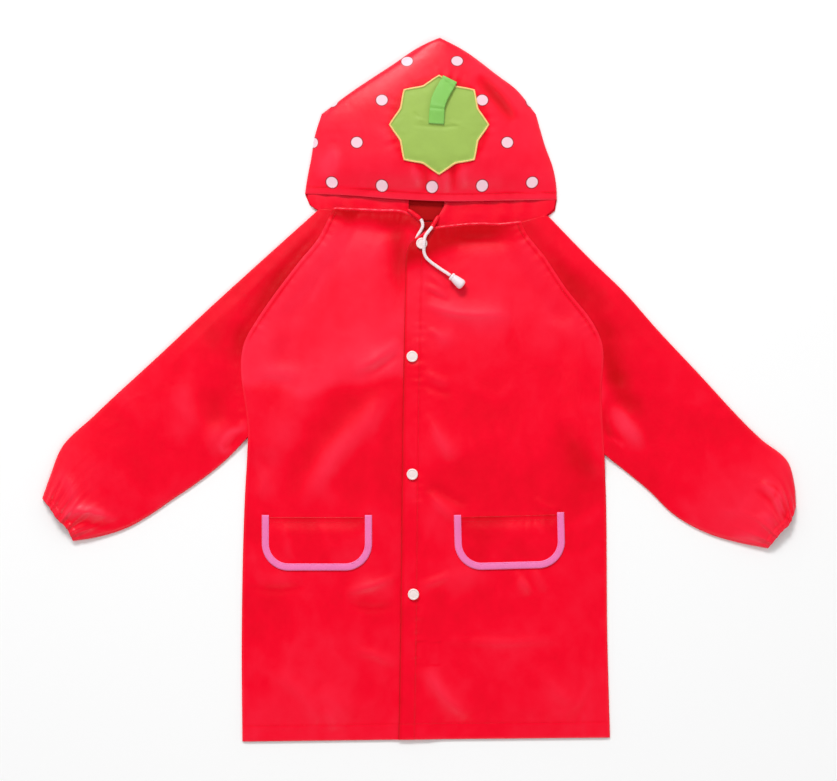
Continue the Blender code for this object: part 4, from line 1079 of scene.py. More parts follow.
def stitch_mesh(name, runs, sizes, finish):
    """One mesh of thread lozenges; each run holds spots, headings and the height function under them."""
    half = 0.5 * sizes.stitch_length / MM
    side = 0.5 * sizes.stitch_width / MM
    points, faces = [], []
    shape = np.array([(0, 1, 2), (0, 2, 3), (0, 3, 4), (0, 4, 1), (5, 2, 1), (5, 3, 2), (5, 4, 3), (5, 1, 4)])
    for spots, ahead, height in runs:
        across = beside(ahead)
        ends = [spots + ahead * reach for reach in (-half, 0.0, half)]
        near, middle, far = (height(spot[:, 0], spot[:, 1]) for spot in ends)
        level = np.maximum(middle, (near + far) / 2.0)
        rows = (
            (ends[0], near - 0.10), (spots + across * side, level + 0.06), (spots, level + 0.42),
            (spots - across * side, level + 0.06), (spots, level - 0.20), (ends[2], far - 0.10),
        )
        block = np.stack([raised(place, z) for place, z in rows], axis=1)
        first = len(points)
        points += block.reshape(-1, 3).tolist()
        faces.append((first + 6 * np.arange(len(spots))[:, None, None] + shape).reshape(-1, 3))
    return face_outward(new_piece(name, points, np.concatenate(faces), [finish]))


class Signal:
    """A value socket that can be used in sums; each sum adds its Math node."""

    def __init__(self, nodes, socket):
        self.nodes, self.socket = nodes, socket

    def _sum(self, operation, *values):
        return self.nodes.node("ShaderNodeMath", {"operation": operation}, dict(enumerate(values)))

    def __add__(self, other):
        return self._sum("ADD", self, other)

    __radd__ = __add__

    def __sub__(self, other):
        return self._sum("SUBTRACT", self, other)

    def __rsub__(self, other):
        return self._sum("SUBTRACT", other, self)

    def __mul__(self, other):
        return self._sum("MULTIPLY", self, other)

    __rmul__ = __mul__

    def __truediv__(self, other):
        return self._sum("DIVIDE", self, other)

    def __neg__(self):
        return self._sum("MULTIPLY", self, -1.0)

    def __abs__(self):
        return self._sum("ABSOLUTE", self)

    def wave(self):
        return self._sum("SINE", self)

    def root(self):
        return self._sum("SQRT", self)

    def whole(self):
        return self._sum("FLOOR", self)

    def rest(self):
        return self._sum("FRACT", self)

    def remainder(self, other):
        return self._sum("FLOORED_MODULO", self, other)

    def step(self, low, high):
        """0 below low and 1 above high, with a soft step between them."""
        return self.between(low, high, 0.0, 1.0)

    def between(self, low, high, first, last):
        """The first value below low and the last above high, with a soft step between them."""
        return self.nodes.node("ShaderNodeMapRange", {"interpolation_type": "SMOOTHSTEP", "clamp": True}, {
            "Value": self, "From Min": low, "From Max": high, "To Min": first, "To Max": last,
        })


class Nodes:
    """The nodes of a material or the world, and the one way that more are added to them."""

    def __init__(self, owner, shader):
        owner.use_nodes = True
        self.tree = owner.node_tree
        self.shader = self.tree.nodes[shader]

    def set(self, socket, value):
        self._give(self.shader.inputs[socket], value)

    def _give(self, socket, value):
        if isinstance(value, Signal):
            self.tree.links.new(value.socket, socket)
        else:
            socket.default_value = value

    def node(self, kind, settings, values, output=0):
        """A node with its settings made first, then the values or links of its sockets; gives one output."""
        new = self.tree.nodes.new(kind)
        for key, value in settings.items():
            setattr(new, key, value)
        for key, value in values.items():
            self._give(new.inputs[key], value)
        return Signal(self, new.outputs[output])

    def axis_of(self, place, axis):
        return self.node("ShaderNodeSeparateXYZ", {}, {"Vector": place}, axis)


class Finish(Nodes):
    """A material of one piece or of several."""

    def __init__(self, name, roughness, sheen=0.0, specular=0.5):
        self.material = bpy.data.materials.new(name)
        super().__init__(self.material, "Principled BSDF")
        self.set("Roughness", roughness)
        self.set("Sheen Weight", sheen)
        self.set("Specular IOR Level", specular)

    def place(self, scale, turn):
        """Object coordinates, scaled and turned about Z."""
        at = self.node("ShaderNodeTexCoord", {}, {}, "Object")
        return self.node("ShaderNodeMapping", {}, {
            "Vector": at, "Scale": scale, "Rotation": (0.0, 0.0, turn),
        })

    def table_place(self, axis):
        """Where a spot lies on the table, in metres."""
        return self.axis_of(self.node("ShaderNodeTexCoord", {}, {}, "Object"), axis)

    def cloth_place(self):
        """The two directions of the flat cloth, in metres."""
        at = self.node("ShaderNodeUVMap", {"uv_map": "cloth"}, {})
        return self.axis_of(at, "X"), self.axis_of(at, "Y")

    def noise(self, size, detail=3.0, stretch=(1.0, 1.0, 1.0), turn=0.0):
        """Soft noise from 0 to 1 whose lumps are about size across, in metres."""
        return self.node("ShaderNodeTexNoise", {}, {
            "Vector": self.place(stretch, turn), "Scale": 1.0 / size, "Detail": detail, "Roughness": 0.55,
        })

    def mix(self, share, first, second):
        """A colour between two others; a Mix node keeps its colour sockets after those of its other kinds."""
        return self.node("ShaderNodeMix", {"data_type": "RGBA"}, {0: share, 6: first, 7: second}, 2)

    def tint(self, share, colour, low, high):
        """Base colour between a darker and a lighter shade of one colour."""
        self.set("Base Color", self.mix(share, shade(colour, low), shade(colour, high)))

    def bump(self, height):
        """Small relief, with its height in metres."""
        relief = {"Strength": 1.0, "Distance": 1.0, "Height": height}
        self.set("Normal", self.node("ShaderNodeBump", {}, relief))

    def weave(self, thread):
        """Plain weave over the flat cloth, from -1 to 1."""
        across, along = self.cloth_place()
        turn = math.tau / (2.0 * thread)
        return (across * turn).wave() * (along * turn).wave()


def shade(colour, factor):
    """A colour made darker or lighter, as four numbers."""
    return (*(min(part * factor, 1.0) for part in colour[:3]), 1.0)


def shell_finish(name, colour, lining_painted_shade=False):
    """Proofed red cloth: a fine weave with a soft gloss and the crinkle of packing, its red paled by painted
    highlights and deepened by painted shade.
    """
    finish = Finish(name, 0.5, specular=0.12 if lining_painted_shade else 0.24)
    broad = finish.noise(0.12, 2.0)
    crinkle = finish.noise(0.016, 4.0, (1.0, 0.7, 1.0), 0.5)
    fine = finish.noise(0.0045, 2.0)
    # Painted highlights and painted shade from the point attribute, with random mottling from the noise.
    painted_light_and_mottle = finish.node("ShaderNodeAttribute", {"attribute_name": "tone"}, {}, "Fac")
    painted_light_and_mottle = painted_light_and_mottle + (finish.noise(0.020, 4.0, (1.0, 0.8, 1.0), 0.9) - 0.5) * 0.55
    tone = finish.mix(broad, shade(colour, 0.97), shade(colour, 1.03))
    if lining_painted_shade:
        # Inside the neck's opening the dark red is painted shade; elsewhere the panel's plain red.
        across, up = (finish.table_place(axis) for axis in "XY")
        near = abs(across - OPENING_MIDDLE).step(*OPENING_HALF) * up.step(*OPENING_FOOT)
        tone = finish.mix(near, (*PANEL_RED, 1.0), tone)
    else:
        tone = finish.mix(painted_light_and_mottle, tone, (*PAINTED_HIGHLIGHT_RED, 1.0))
        tone = finish.mix(-painted_light_and_mottle, tone, (*PAINTED_SHADE_RED, 1.0))
    finish.set("Base Color", tone)
    finish.set("Roughness", (0.52 if lining_painted_shade else 0.29) + 0.10 * fine)
    finish.bump(crinkle * 0.00030 + fine * 0.00006 + finish.weave(0.0006) * 0.000012)
    return finish


def hood_finish(name, colours, radius):
    """The same cloth with white dots in staggered rows, printed on its outer side."""
    finish = shell_finish(name, colours.shell)
    across, along = finish.cloth_place()
    row = along / (DOT_ROW_PITCH * MM)
    number = (row + 0.5).whole()
    column = (across - DOT_FIRST_X * MM) / (DOT_PITCH * MM) + 0.5 * number.remainder(2.0)
    beside = ((column + 0.5).rest() - 0.5) * DOT_PITCH
    above = ((row + 0.5).rest() - 0.5) * DOT_ROW_PITCH
    away = (beside * beside + above * above).root()
    dot = 1.0 - away.step(radius - 0.35, radius + 0.35)
    rim = abs(away - radius - 0.2).step(1.1, 0.3)
    ground = Signal(finish, finish.shader.inputs["Base Color"].links[0].from_socket)
    printed = finish.mix(dot, ground, (*colours.dots[:3], 1.0))
    finish.set("Base Color", finish.mix(0.8 * rim, printed, shade(colours.shell, 0.30)))
    return finish


def ribbon_finish(name, colour, rib, roughness, depth):
    """Woven tape or ribbon, with ribs across the flat strip."""
    finish = Finish(name, roughness, sheen=0.18)
    across, along = finish.cloth_place()
    ribs = (along * (math.tau / rib)).wave()
    finish.tint(finish.noise(0.02, 2.0), colour, 0.92, 1.05)
    finish.set("Roughness", roughness - 0.05 + 0.10 * finish.noise(0.004, 2.0))
    finish.bump(ribs * depth + (across * (math.tau / 0.0008)).wave() * 0.00001
                + finish.noise(0.006, 3.0) * 0.00012)
    return finish


def felted_finish(name, colour):
    """Plain close-woven cloth of the patch, with a little fuzz."""
    finish = Finish(name, 0.62, sheen=0.22)
    finish.tint(finish.noise(0.018, 3.0), colour, 0.93, 1.05)
    finish.set("Roughness", 0.58 + 0.12 * finish.noise(0.003, 2.0))
    finish.bump(finish.weave(0.0005) * 0.00002 + finish.noise(0.009, 4.0) * 0.00022)
    return finish


def thread_finish(name, colour):
    finish = Finish(name, 0.5, sheen=0.2)
    finish.tint(finish.noise(0.003), colour, 0.85, 1.12)
    finish.bump(finish.noise(0.0004, 1.0) * 0.00004)
    return finish


def cord_finish(name, colour):
    """Braided cotton: slanting strands across a round cord, with lint."""
    finish = Finish(name, 0.75, sheen=0.3)
    round_it, along = finish.cloth_place()
    left = (round_it * (math.tau / 0.0021) + along * (math.tau / 0.0042)).wave()
    right = (round_it * (math.tau / 0.0021) - along * (math.tau / 0.0042)).wave()
    strands = left * right
    # Painted shade between the strands, where their relief is low.
    finish.tint(strands.step(-0.8, 0.2), colour, 0.80, 1.02)
    finish.set("Roughness", 0.7 + 0.1 * finish.noise(0.001, 2.0))
    finish.bump(strands * 0.00012 + finish.noise(0.0007, 2.0) * 0.00005)
    return finish


def moulded_finish(name, colour, roughness=0.32):
    """Moulded plastic with fine handling marks."""
    finish = Finish(name, roughness)
    wear = finish.noise(0.004, 4.0)
    finish.tint(wear, colour, 0.95, 1.02)
    finish.set("Roughness", roughness - 0.06 + 0.16 * wear)
    finish.bump(finish.noise(0.0012, 3.0) * 0.00002)
    return finish


def size_property(name, description, default):
    return bpy.props.FloatProperty(
        name=name, description=description, default=default, min=0.0, unit="LENGTH", precision=5)


def power_property(name, description, default):
    return bpy.props.FloatProperty(name=name, description=description, default=default, unit="POWER")


def colour_property(name, description, default):
    return bpy.props.FloatVectorProperty(
        name=name, description=description, default=default, min=0.0, max=1.0, size=3, subtype="COLOR")


class RaincoatSizes(bpy.types.PropertyGroup):
    """Sizes of the cloth and its trims, in metres"""

    cloth_wall: size_property("Cloth", "Thickness of the shell cloth", 0.0006)
    trim_wall: size_property("Trim cloth", "Thickness of the patch, the flaps and the tapes", 0.0006)
    mesh_pitch: size_property("Body mesh", "Spacing of the mesh of the body panels", PITCH * MM)
    sleeve_pitch: size_property("Sleeve mesh", "Spacing of the mesh of the sleeves", SLEEVE_PITCH * MM)
    hood_pitch: size_property("Hood mesh", "Spacing of the mesh of the hood", HOOD_PITCH * MM)
    stitch_step: size_property("Stitch spacing", "From one stitch to the next", STITCH_STEP * MM)
    stitch_length: size_property("Stitch length", "Thread that shows in a stitch", STITCH_LENGTH * MM)
    stitch_width: size_property("Thread width", "Width of the thread", STITCH_WIDTH * MM)
    dot_radius: size_property("Dot radius", "Radius of the hood's dots", DOT_RADIUS * MM)
    cord_width: size_property("Drawcord", "Diameter of the drawcord", 2.0 * CORD_RADIUS * MM)


class RaincoatColours(bpy.types.PropertyGroup):
    """Colours of the finishes"""

    shell: colour_property("Shell", "Red of the body, the sleeves and the hood", (0.92, 0.0, 0.019))
    # Painted shade: the dark red shown inside the neck's opening.
    lining_painted_shade: colour_property("Lining", "Inner side of the hood", (0.46, 0.0005, 0.002))
    dots: colour_property("Dots", "Dots on the hood", (0.91, 0.60, 0.68))
    leaf: colour_property("Leaf", "Patch on the hood", (0.325, 0.485, 0.075))
    leaf_edge: colour_property("Leaf edge", "Sewn edge of the patch", (0.88, 0.58, 0.19))
    stem: colour_property("Stem", "Ribbon loop on the patch", (0.215, 0.545, 0.085))
    binding: colour_property("Binding", "Tape round the pocket flaps", (0.87, 0.175, 0.45))
    snap: colour_property("Snaps", "Snap caps", (0.89, 0.75, 0.73))
    cord: colour_property("Cord", "Drawcord", (0.93, 0.81, 0.83))
    toggle: colour_property("Cord end", "Bell on the end of the drawcord", (0.88, 0.78, 0.82))


class RaincoatStage(bpy.types.PropertyGroup):
    """Camera, floor and light"""

    view_width: size_property("View width", "Width that the picture takes in", VIEW_WIDTH * MM)
    key_power: power_property("Key light", "Power of the soft light above the hood", 205.0)
    gloss_power: power_property("Gloss light", "Power of the small light that gives the sheen", 6.5)
    fill_power: power_property("Fill light", "Power of the wide light past the hem", 40.0)
    sky: bpy.props.FloatProperty(name="Sky", description="Strength of the pale surroundings", default=0.66)
    floor: colour_property("Floor", "Colour of the floor", (0.95, 0.95, 0.95))


def settings(context):
    return context.scene.raincoat_sizes, context.scene.raincoat_colours


def dress(piece, nodes):
    """Ties a piece to the coat and to the solids that it stands for."""
    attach(piece, "root")
    if nodes:
        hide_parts(*nodes)
    return piece


def finish_with(piece, finish):
    piece.data.materials.append(finish.material)
    return piece


def add_light(name, place, size, power):
    """A soft light that looks at the middle of the coat."""
    lamp = bpy.data.lights.new(name, "AREA")
    lamp.shape = "RECTANGLE"
    lamp.size, lamp.size_y = size
    lamp.energy = power
    light = add_object(name, lamp)
    light.location = place
    light.rotation_euler = (-Vector(place)).to_track_quat("-Z", "Y").to_euler()


class RAINCOAT_OT_stage(bpy.types.Operator):
    """Camera straight above the coat, pale floor and soft light"""

    bl_idname = "raincoat.stage"
    bl_label = "Camera, floor and light"

    def execute(self, context):
        stage = context.scene.raincoat_stage
        lens = bpy.data.cameras.new("overhead_camera")
        lens.lens, lens.sensor_width, lens.clip_end = LENS, SENSOR, 20.0
        camera = add_object("overhead_camera", lens)
        level = CLOTH_LEVEL * MM + stage.view_width * LENS / SENSOR
        camera.location = (VIEW_CENTRE[0] * MM, VIEW_CENTRE[1] * MM, level)
        context.scene.camera = camera
        select_none()
        bpy.ops.mesh.primitive_plane_add(size=FLOOR_SIZE, location=(0.0, 0.0, FLOOR_LEVEL))
        floor = context.active_object
        floor.name = "floor"
        bpy.ops.object.transform_apply(location=True)
        paper = Finish("floor_paper", 0.85, specular=0.2)
        paper.tint(paper.noise(0.5, 2.0), stage.floor, 0.995, 1.005)
        finish_with(floor, paper)
        floor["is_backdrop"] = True
        for name, place, size, power in LIGHTS:
            add_light(name, place, size, getattr(stage, power))
        world = context.scene.world or bpy.data.worlds.new("pale_room")
        context.scene.world = world
        room = Nodes(world, "Background")
        height = room.axis_of(room.node("ShaderNodeTexCoord", {}, {}, "Generated"), "Z")
        room.set("Strength", height.between(*DARK_ABOVE, stage.sky, 0.02))
        room.set("Color", (1.0, 1.0, 1.0, 1.0))
        context.scene.view_settings.view_transform = "Standard"
        return {"FINISHED"}


def cord_tube(name, route, width, finish, braid=CORD_BRAID):
    """A braided cord round a route; gives its middle line and length in metres too."""
    line = Line(route)
    count, sides = int(line.length / CORD_STEP) + 1, CORD_SIDES
    stops = line.at(np.linspace(0.0, 1.0, count))
    middle, radius = stops[:, :3], stops[:, 3] * width / (2.0 * CORD_RADIUS * MM)
    ahead = headings(middle)
    side = np.cross(ahead, (0.0, 0.0, 1.0))
    side /= np.linalg.norm(side, axis=1)[:, None]
    above = np.cross(side, ahead)
    turn = np.linspace(0.0, 2.0 * np.pi, sides, endpoint=False)
    far = np.linspace(0.0, line.length, count)[:, None]
    strands = np.sin(6.0 * turn + far * 1.5) * np.sin(6.0 * turn - far * 1.5)
    reach = (radius[:, None] * (1.0 + braid * strands))[..., None]
    round_it = np.cos(turn)[:, None] * side[:, None] + np.sin(turn)[:, None] * above[:, None]
    points = np.concatenate(((middle[:, None, :] + reach * round_it).reshape(-1, 3), middle[:1], middle[-1:]))
    loop, following = np.arange(sides), (np.arange(sides) + 1) % sides
    rows = np.arange(count - 1)[:, None] * sides
    here, after = rows + loop, rows + following
    quads = paired(here, after, after + sides, here + sides).reshape(-1, 4)
    first, last = len(points) - 2, len(points) - 1
    caps = [(first, b, a) for a, b in zip(loop, following)]
    caps += [(last, a, b) for a, b in zip(loop + (count - 1) * sides, following + (count - 1) * sides)]
    low, high = (loop * CORD_ROUND / sides, (loop + 1) * CORD_ROUND / sides)
    flat = paired(low, far[:-1], high, far[:-1], high, far[1:], low, far[1:]).ravel()
    flat = np.concatenate((flat, np.zeros(6 * len(caps))))
    piece = face_outward(new_piece(name, points, [*quads, *caps], [finish], flat))
    return piece, to_metres(middle), line.length * MM


class RAINCOAT_OT_drawcords(bpy.types.Operator):
    """The two ends of the hood's drawcord that show"""

    bl_idname = "raincoat.drawcords"
    bl_label = "Drawcords"

    def execute(self, context):
        sizes, colours = settings(context)
        braid = cord_finish("cord_white", colours.cord)
        for name, route, far_end, on_it in (
            ("drawcord_left", LEFT_CORD, "fitting", [bpy.data.objects["cord_toggle_bell"]]),
            ("drawcord_right", RIGHT_CORD, "object", []),
        ):
            piece, way, length = cord_tube(name + "_braid", route, sizes.cord_width, braid)
            dress(piece, [name])
        shell = shell_finish("shell_red_channel", colours.shell)
        for side, route in (("left", LEFT_CHANNEL), ("right", RIGHT_CHANNEL)):
            dress(cord_tube(f"cord_channel_{side}", route, sizes.cord_width, shell, 0.0)[0], [])
        return {"FINISHED"}


class RAINCOAT_OT_back(bpy.types.Operator):
    """The back, flat under the fronts"""

    bl_idname = "raincoat.back"
    bl_label = "Back"

    def execute(self, context):
        sizes, colours = settings(context)
        right = Line([(x + BACK_INSET, y) for x, y in RIGHT_EDGE[:-1]] + [BACK_NECK[0]])
        left = Line([(x - BACK_INSET, y) for x, y in LEFT_EDGE[:-1]] + [BACK_NECK[-1]])
        hem = Line((right.points[0], PLACKET[0], left.points[0]))
        neck = Line(BACK_NECK)
        columns, rows = graded(BACK_SPAN[0], BACK_PITCH), both_ends(BACK_SPAN[1], BACK_PITCH, (HEM_STITCH,))
        plan = Plan(hem, neck, right, left).at(columns[None, :], rows[:, None])

        def height(x, y):
            return 0.62 + 0.25 * bell(from_nearest((hem, neck), x, y) - 4.0, 4.0)

        piece = panel_piece("back_cloth", plan, height, sizes.cloth_wall,
                            shell_finish("shell_red_back", colours.lining_painted_shade, lining_painted_shade=True))
        dress(piece, ["back_panel"])
        return {"FINISHED"}


class RAINCOAT_OT_fronts(bpy.types.Operator):
    """Both fronts, the left one lapped over the right"""

    bl_idname = "raincoat.fronts"
    bl_label = "Fronts"

    def execute(self, context):
        sizes, colours = settings(context)
        pitch = sizes.mesh_pitch / MM
        shell = shell_finish("shell_red", colours.shell)
        rows = both_ends(FRONT_SPAN, pitch, (HEM_STITCH,), (NECK_STITCH,))
        for name, over, first, last, width, near, far, flat, area in (
            ("front_right", False, right_edge, underlap, 230.0, (RAGLAN_STITCH,), (), (0.240, 0.690), 0.1447),
            ("front_left", True, placket, left_edge, 262.0, (PLACKET_STITCH,), (RAGLAN_STITCH,),
             (0.272, 0.690), 0.158),
        ):
            columns = both_ends(width, pitch, near, far)
            plan = Plan(FRONTS[over].hem, FRONTS[over].neck, first, last).at(columns[None, :], rows[:, None])
            tone = front_painted_light(plan[..., 0], plan[..., 1], over)
            piece = panel_piece(name + "_cloth", plan, lambda x, y: front_surface(x, y, over),
                                sizes.cloth_wall, shell, tone=tone)
            dress(piece, [name])
        return {"FINISHED"}


class RAINCOAT_OT_sleeves(bpy.types.Operator):
    """Both raglan sleeves, flattened tubes gathered at the cuff"""

    bl_idname = "raincoat.sleeves"
    bl_label = "Sleeves"

    def execute(self, context):
        sizes, colours = settings(context)
        pitch = sizes.sleeve_pitch / MM
        shell = shell_finish("shell_red_sleeves", colours.shell)
        across = both_ends(SLEEVE_SPAN[0], SLEEVE_FINER * pitch)
        along = both_ends(SLEEVE_SPAN[1], pitch, (), (CUFF_STITCH,))
        for name, sleeve in SLEEVES.items():
            spots, lower, upper = sleeve.surface(across[None, :], along[:, None])
            piece = tube_piece(name + "_cloth", spots, lower, upper, sizes.cloth_wall, [shell], spots,
                               sleeve_painted_light(sleeve, spots))
            dress(piece, [name])
        return {"FINISHED"}


class RAINCOAT_OT_hood(bpy.types.Operator):
    """The dotted hood, a flattened bag that is open towards the hem"""

    bl_idname = "raincoat.hood"
    bl_label = "Hood"

    def execute(self, context):
        sizes, colours = settings(context)
        pitch = sizes.hood_pitch / MM
        u = both_ends(HOOD_SPAN[0], pitch)
        u[np.abs(u - HOOD_PEAK_SHARE).argmin()] = HOOD_PEAK_SHARE
        v = both_ends(HOOD_SPAN[1], pitch, (BRIM_STITCH,))
        spots = Plan(brim, hood_crown, hood_right, hood_left).at(u[None, :], v[:, None])
        x, y = spots[..., 0], spots[..., 1]
        turn = rolled(from_nearest((hood_right, hood_left, hood_crown), x, y))
        upper = FOLD_MIDDLE + (hood_surface(x, y) - FOLD_MIDDLE) * turn
        lower = FOLD_MIDDLE * (1.0 - turn)
        seam = Line(HOOD_SEAM).at(u)
        skirt = np.stack([spots[0] + (seam - spots[0]) * share for share in np.linspace(0.0, 1.0, 9)[1:]])
        finishes = [hood_finish("hood_dotted", colours, sizes.dot_radius / MM),
                    shell_finish("hood_lining", colours.lining_painted_shade, lining_painted_shade=True)]
        piece = tube_piece("hood_cloth", spots, lower, upper, sizes.cloth_wall, finishes,
                           hood_flat(spots), hood_painted_light(x, y), skirt)
        dress(piece, ["hood"])
        return {"FINISHED"}


class RAINCOAT_OT_collars(bpy.types.Operator):
    """Plain side strips between the neck seam and the brim"""

    bl_idname = "raincoat.collars"
    bl_label = "Collar strips"

    def execute(self, context):
        sizes, colours = settings(context)
        plain = shell_finish("shell_red_collar", colours.shell)
        for name, seam, top, first, last, free, neck, flat, area in (
            ("collar_right", COLLAR_RIGHT_SEAM, (-141.0, -75.0, -14.0), COLLAR_RIGHT_TURN, COLLAR_RIGHT_FACE,
             Line(COLLAR_RIGHT_FACE), neck_right, (0.127, 0.048), 0.0053),
            ("collar_left", COLLAR_LEFT_SEAM, (33.0, 98.0, 172.0), COLLAR_LEFT_FACE, COLLAR_LEFT_TURN,
             Line(COLLAR_LEFT_FACE), neck_left, (0.140, 0.062), 0.0080),
        ):
            def height(x, y):
                open_part = smooth(1.0, 12.0, neck.nearest(x, y)[0]) * smooth(COLLAR_TOP, 246.0, y)
                upright = 0.5 * np.sin(x / 5.3 + 1.4 * np.sin(x / 19.0) + y / 30.0)
                face = seam_relief(free.nearest(x, y)[0], COLLAR_STITCH, 0.3)
                return FRONT_BASE + CLOTH + open_part * (0.5 + upright) + face

            lines = (Line(seam), Line([(x, COLLAR_TOP) for x in top]), Line(first, True), Line(last, True))
            columns, rows = (both_ends(span, COLLAR_PITCH) for span in COLLAR_SPAN)
            plan = Plan(*lines).at(columns[None, :], rows[:, None])
            # Painted light: the strips are paler towards the brim, where its shadow falls.
            tone = 0.05 + 0.35 * smooth(232.0, 246.0, plan[..., 1])
            piece = panel_piece(name + "_cloth", plan, height, sizes.cloth_wall, plain, tone=tone)
            dress(piece, [name])
        return {"FINISHED"}


def leaf_surface(x, y):
    """Outer height of the patch, sewn down round its edge."""
    away, turn = round_leaf(x, y)
    from_edge = np.maximum(leaf_radius(turn % (2.0 * np.pi)) - away, 0.0)
    pulled = 0.3 * np.sin(19.0 * turn + 2.0 * np.sin(4.0 * turn)) * bell(from_edge - 5.0, 6.0)
    soft = smooth(3.0, 12.0, from_edge)
    own = ridge(LEAF_CREASES, x, y) + soft * (0.35 * crumple(x, y, 80, 50.0) + 0.5) + pulled * soft
    bead = 0.75 * np.sqrt(np.clip(1.0 - ((from_edge - LEAF_EDGE / 2.0) / (LEAF_EDGE / 2.0)) ** 2, 0.0, 1.0))
    return hood_surface(x, y) + LEAF_LIFT + own + bead


class RAINCOAT_OT_leaf(bpy.types.Operator):
    """The leaf-shaped patch on the hood, with its sewn edge"""

    bl_idname = "raincoat.leaf"
    bl_label = "Leaf patch"

    def execute(self, context):
        sizes, colours = settings(context)
        count = LEAF_POINTS * 36
        turn = np.arange(count) * 2.0 * np.pi / count
        outer = leaf_radius(turn)
        inner = [(outer - LEAF_EDGE) * share for share in np.linspace(0.0, 1.0, 26)[1:]]
        edge = [outer - away for away in LEAF_EDGE * (1.0 - np.array(LEAF_EDGE_ROWS))]
        rings = np.array(inner + edge)
        x, y = LEAF_MIDDLE[0] + rings * np.cos(turn), LEAF_MIDDLE[1] + rings * np.sin(turn)
        ribs = 0.16 * np.cos(np.arange(count) * np.pi) * (np.arange(len(rings))[:, None] > len(inner))
        z = leaf_surface(x, y) + ribs
        points = np.concatenate(([(*LEAF_MIDDLE, leaf_surface(*np.array([LEAF_MIDDLE]).T)[0])],
                                 paired(x, y, z).reshape(-1, 3)))
        pairs = [(step, (step + 1) % count) for step in range(count)]
        faces = [(0, 1 + a, 1 + b) for a, b in pairs]
        for start in range(1, 1 + (len(rings) - 1) * count, count):
            faces += [(start + a, start + count + a, start + count + b, start + b) for a, b in pairs]
        corner = np.array([vertex for face in faces for vertex in face])
        cloth = felted_finish("leaf_green", colours.leaf)
        edging = thread_finish("leaf_edge_thread", colours.leaf_edge)
        piece = new_piece("leaf_cloth", points, faces, [cloth, edging], points[corner][:, :2])
        on_edge = [step >= len(inner) * count for step in range(len(faces))]
        piece.data.polygons.foreach_set("material_index", on_edge)
        give_wall(piece, sizes.trim_wall)
        dress(piece, ["leaf_patch"])
        return {"FINISHED"}


class RAINCOAT_OT_stem(bpy.types.Operator):
    """The ribbon loop that stands for the leaf's stem"""

    bl_idname = "raincoat.stem"
    bl_label = "Stem loop"

    def execute(self, context):
        sizes, colours = settings(context)
        spine = Line(STEM_WAY)
        steps = np.linspace(0.0, 1.0, 46)
        spots = spine.at(steps)
        ahead = headings(spots)
        across = np.linspace(-1.0, 1.0, 15)
        width = RIBBON_WIDTH / 2.0 * (1.0 - 0.04 * bell(steps - 0.34, 0.12))
        plan = spots[:, None, :] - beside(ahead)[:, None, :] * (width[:, None] * across)[..., None]
        far = steps * spine.length
        lower = leaf_surface(plan[..., 0], plan[..., 1]) + 0.35
        swell = np.sin(np.pi * steps)[:, None] * (1.0 - 0.25 * across**2)
        gap = 1.35 + 1.7 * smooth(0.0, 0.35, steps)[:, None] + 0.7 * swell
        seam = 0.35 * bell(far - STEM_STITCH - 3.5, 2.0) - 0.9 * bell(far - STEM_STITCH, 1.3)
        gap = gap + seam[:, None]
        gap = gap + 0.16 * np.sin(9.0 * across + 0.25 * far[:, None]) * bell(far, 12.0)[:, None]
        upper = lower + gap
        tips = []
        for bend in np.radians(STEM_TURN):
            reach = gap[-1] / 2.0
            place = plan[-1] + ahead[-1] * (reach * math.cos(bend))[:, None]
            tips.append(raised(place, lower[-1] + reach * (1.0 + math.sin(bend))))
        rows = np.concatenate((raised(plan, lower), np.array(tips), raised(plan, upper)[::-1]))
        faces = grid_faces(*rows.shape[:2])
        if looks_down(rows.reshape(-1, 3), faces[-(len(faces) // 2) // 2:]):
            faces = faces[:, ::-1]
        walk = way_gone(rows[:, 7])
        laid = paired(across * RIBBON_WIDTH / 2.0, walk[:, None]).reshape(-1, 2)
        ribbon = ribbon_finish("stem_green", colours.stem, 0.0013, 0.5, 0.00005)
        piece = new_piece("stem_ribbon", rows.reshape(-1, 3), faces, [ribbon], laid[faces].reshape(-1, 2))
        give_wall(piece, sizes.trim_wall)
        dress(piece, ["stem_loop"])
        return {"FINISHED"}


def flap_surface(side, x, y):
    """Outer height of a pocket flap, puffed in the middle and stitched along its seam."""
    over = side == "left"
    across, down = flap_axes(side, x, y)
    puff = smooth(0.0, 24.0, FLAP_DEPTH - 9.0 - down) * smooth(5.0, 22.0, down)
    puff = puff * smooth(8.0, 30.0, FLAP_WIDTH / 2.0 - np.abs(across))
    own = 1.1 * puff + puff * 0.5 * crumple(x, y, 90 + 5 * over, 70.0)
    own += pucker(across + 80.0, down, FLAP_STITCH, 8.0 + over) - 1.0 * fade(0.0, 17.0, down)
    return front_over(x, y, over) + FLAP_LIFT + own


def flap_place(side, across, down):
    """Plan places of spots on a pocket flap, measured from the middle of its top seam."""
    middle_x, middle_y, tilt = FLAPS[side]
    turn = math.radians(tilt)
    return paired(middle_x + across * math.cos(turn) + down * math.sin(turn),
                  middle_y + across * math.sin(turn) - down * math.cos(turn))


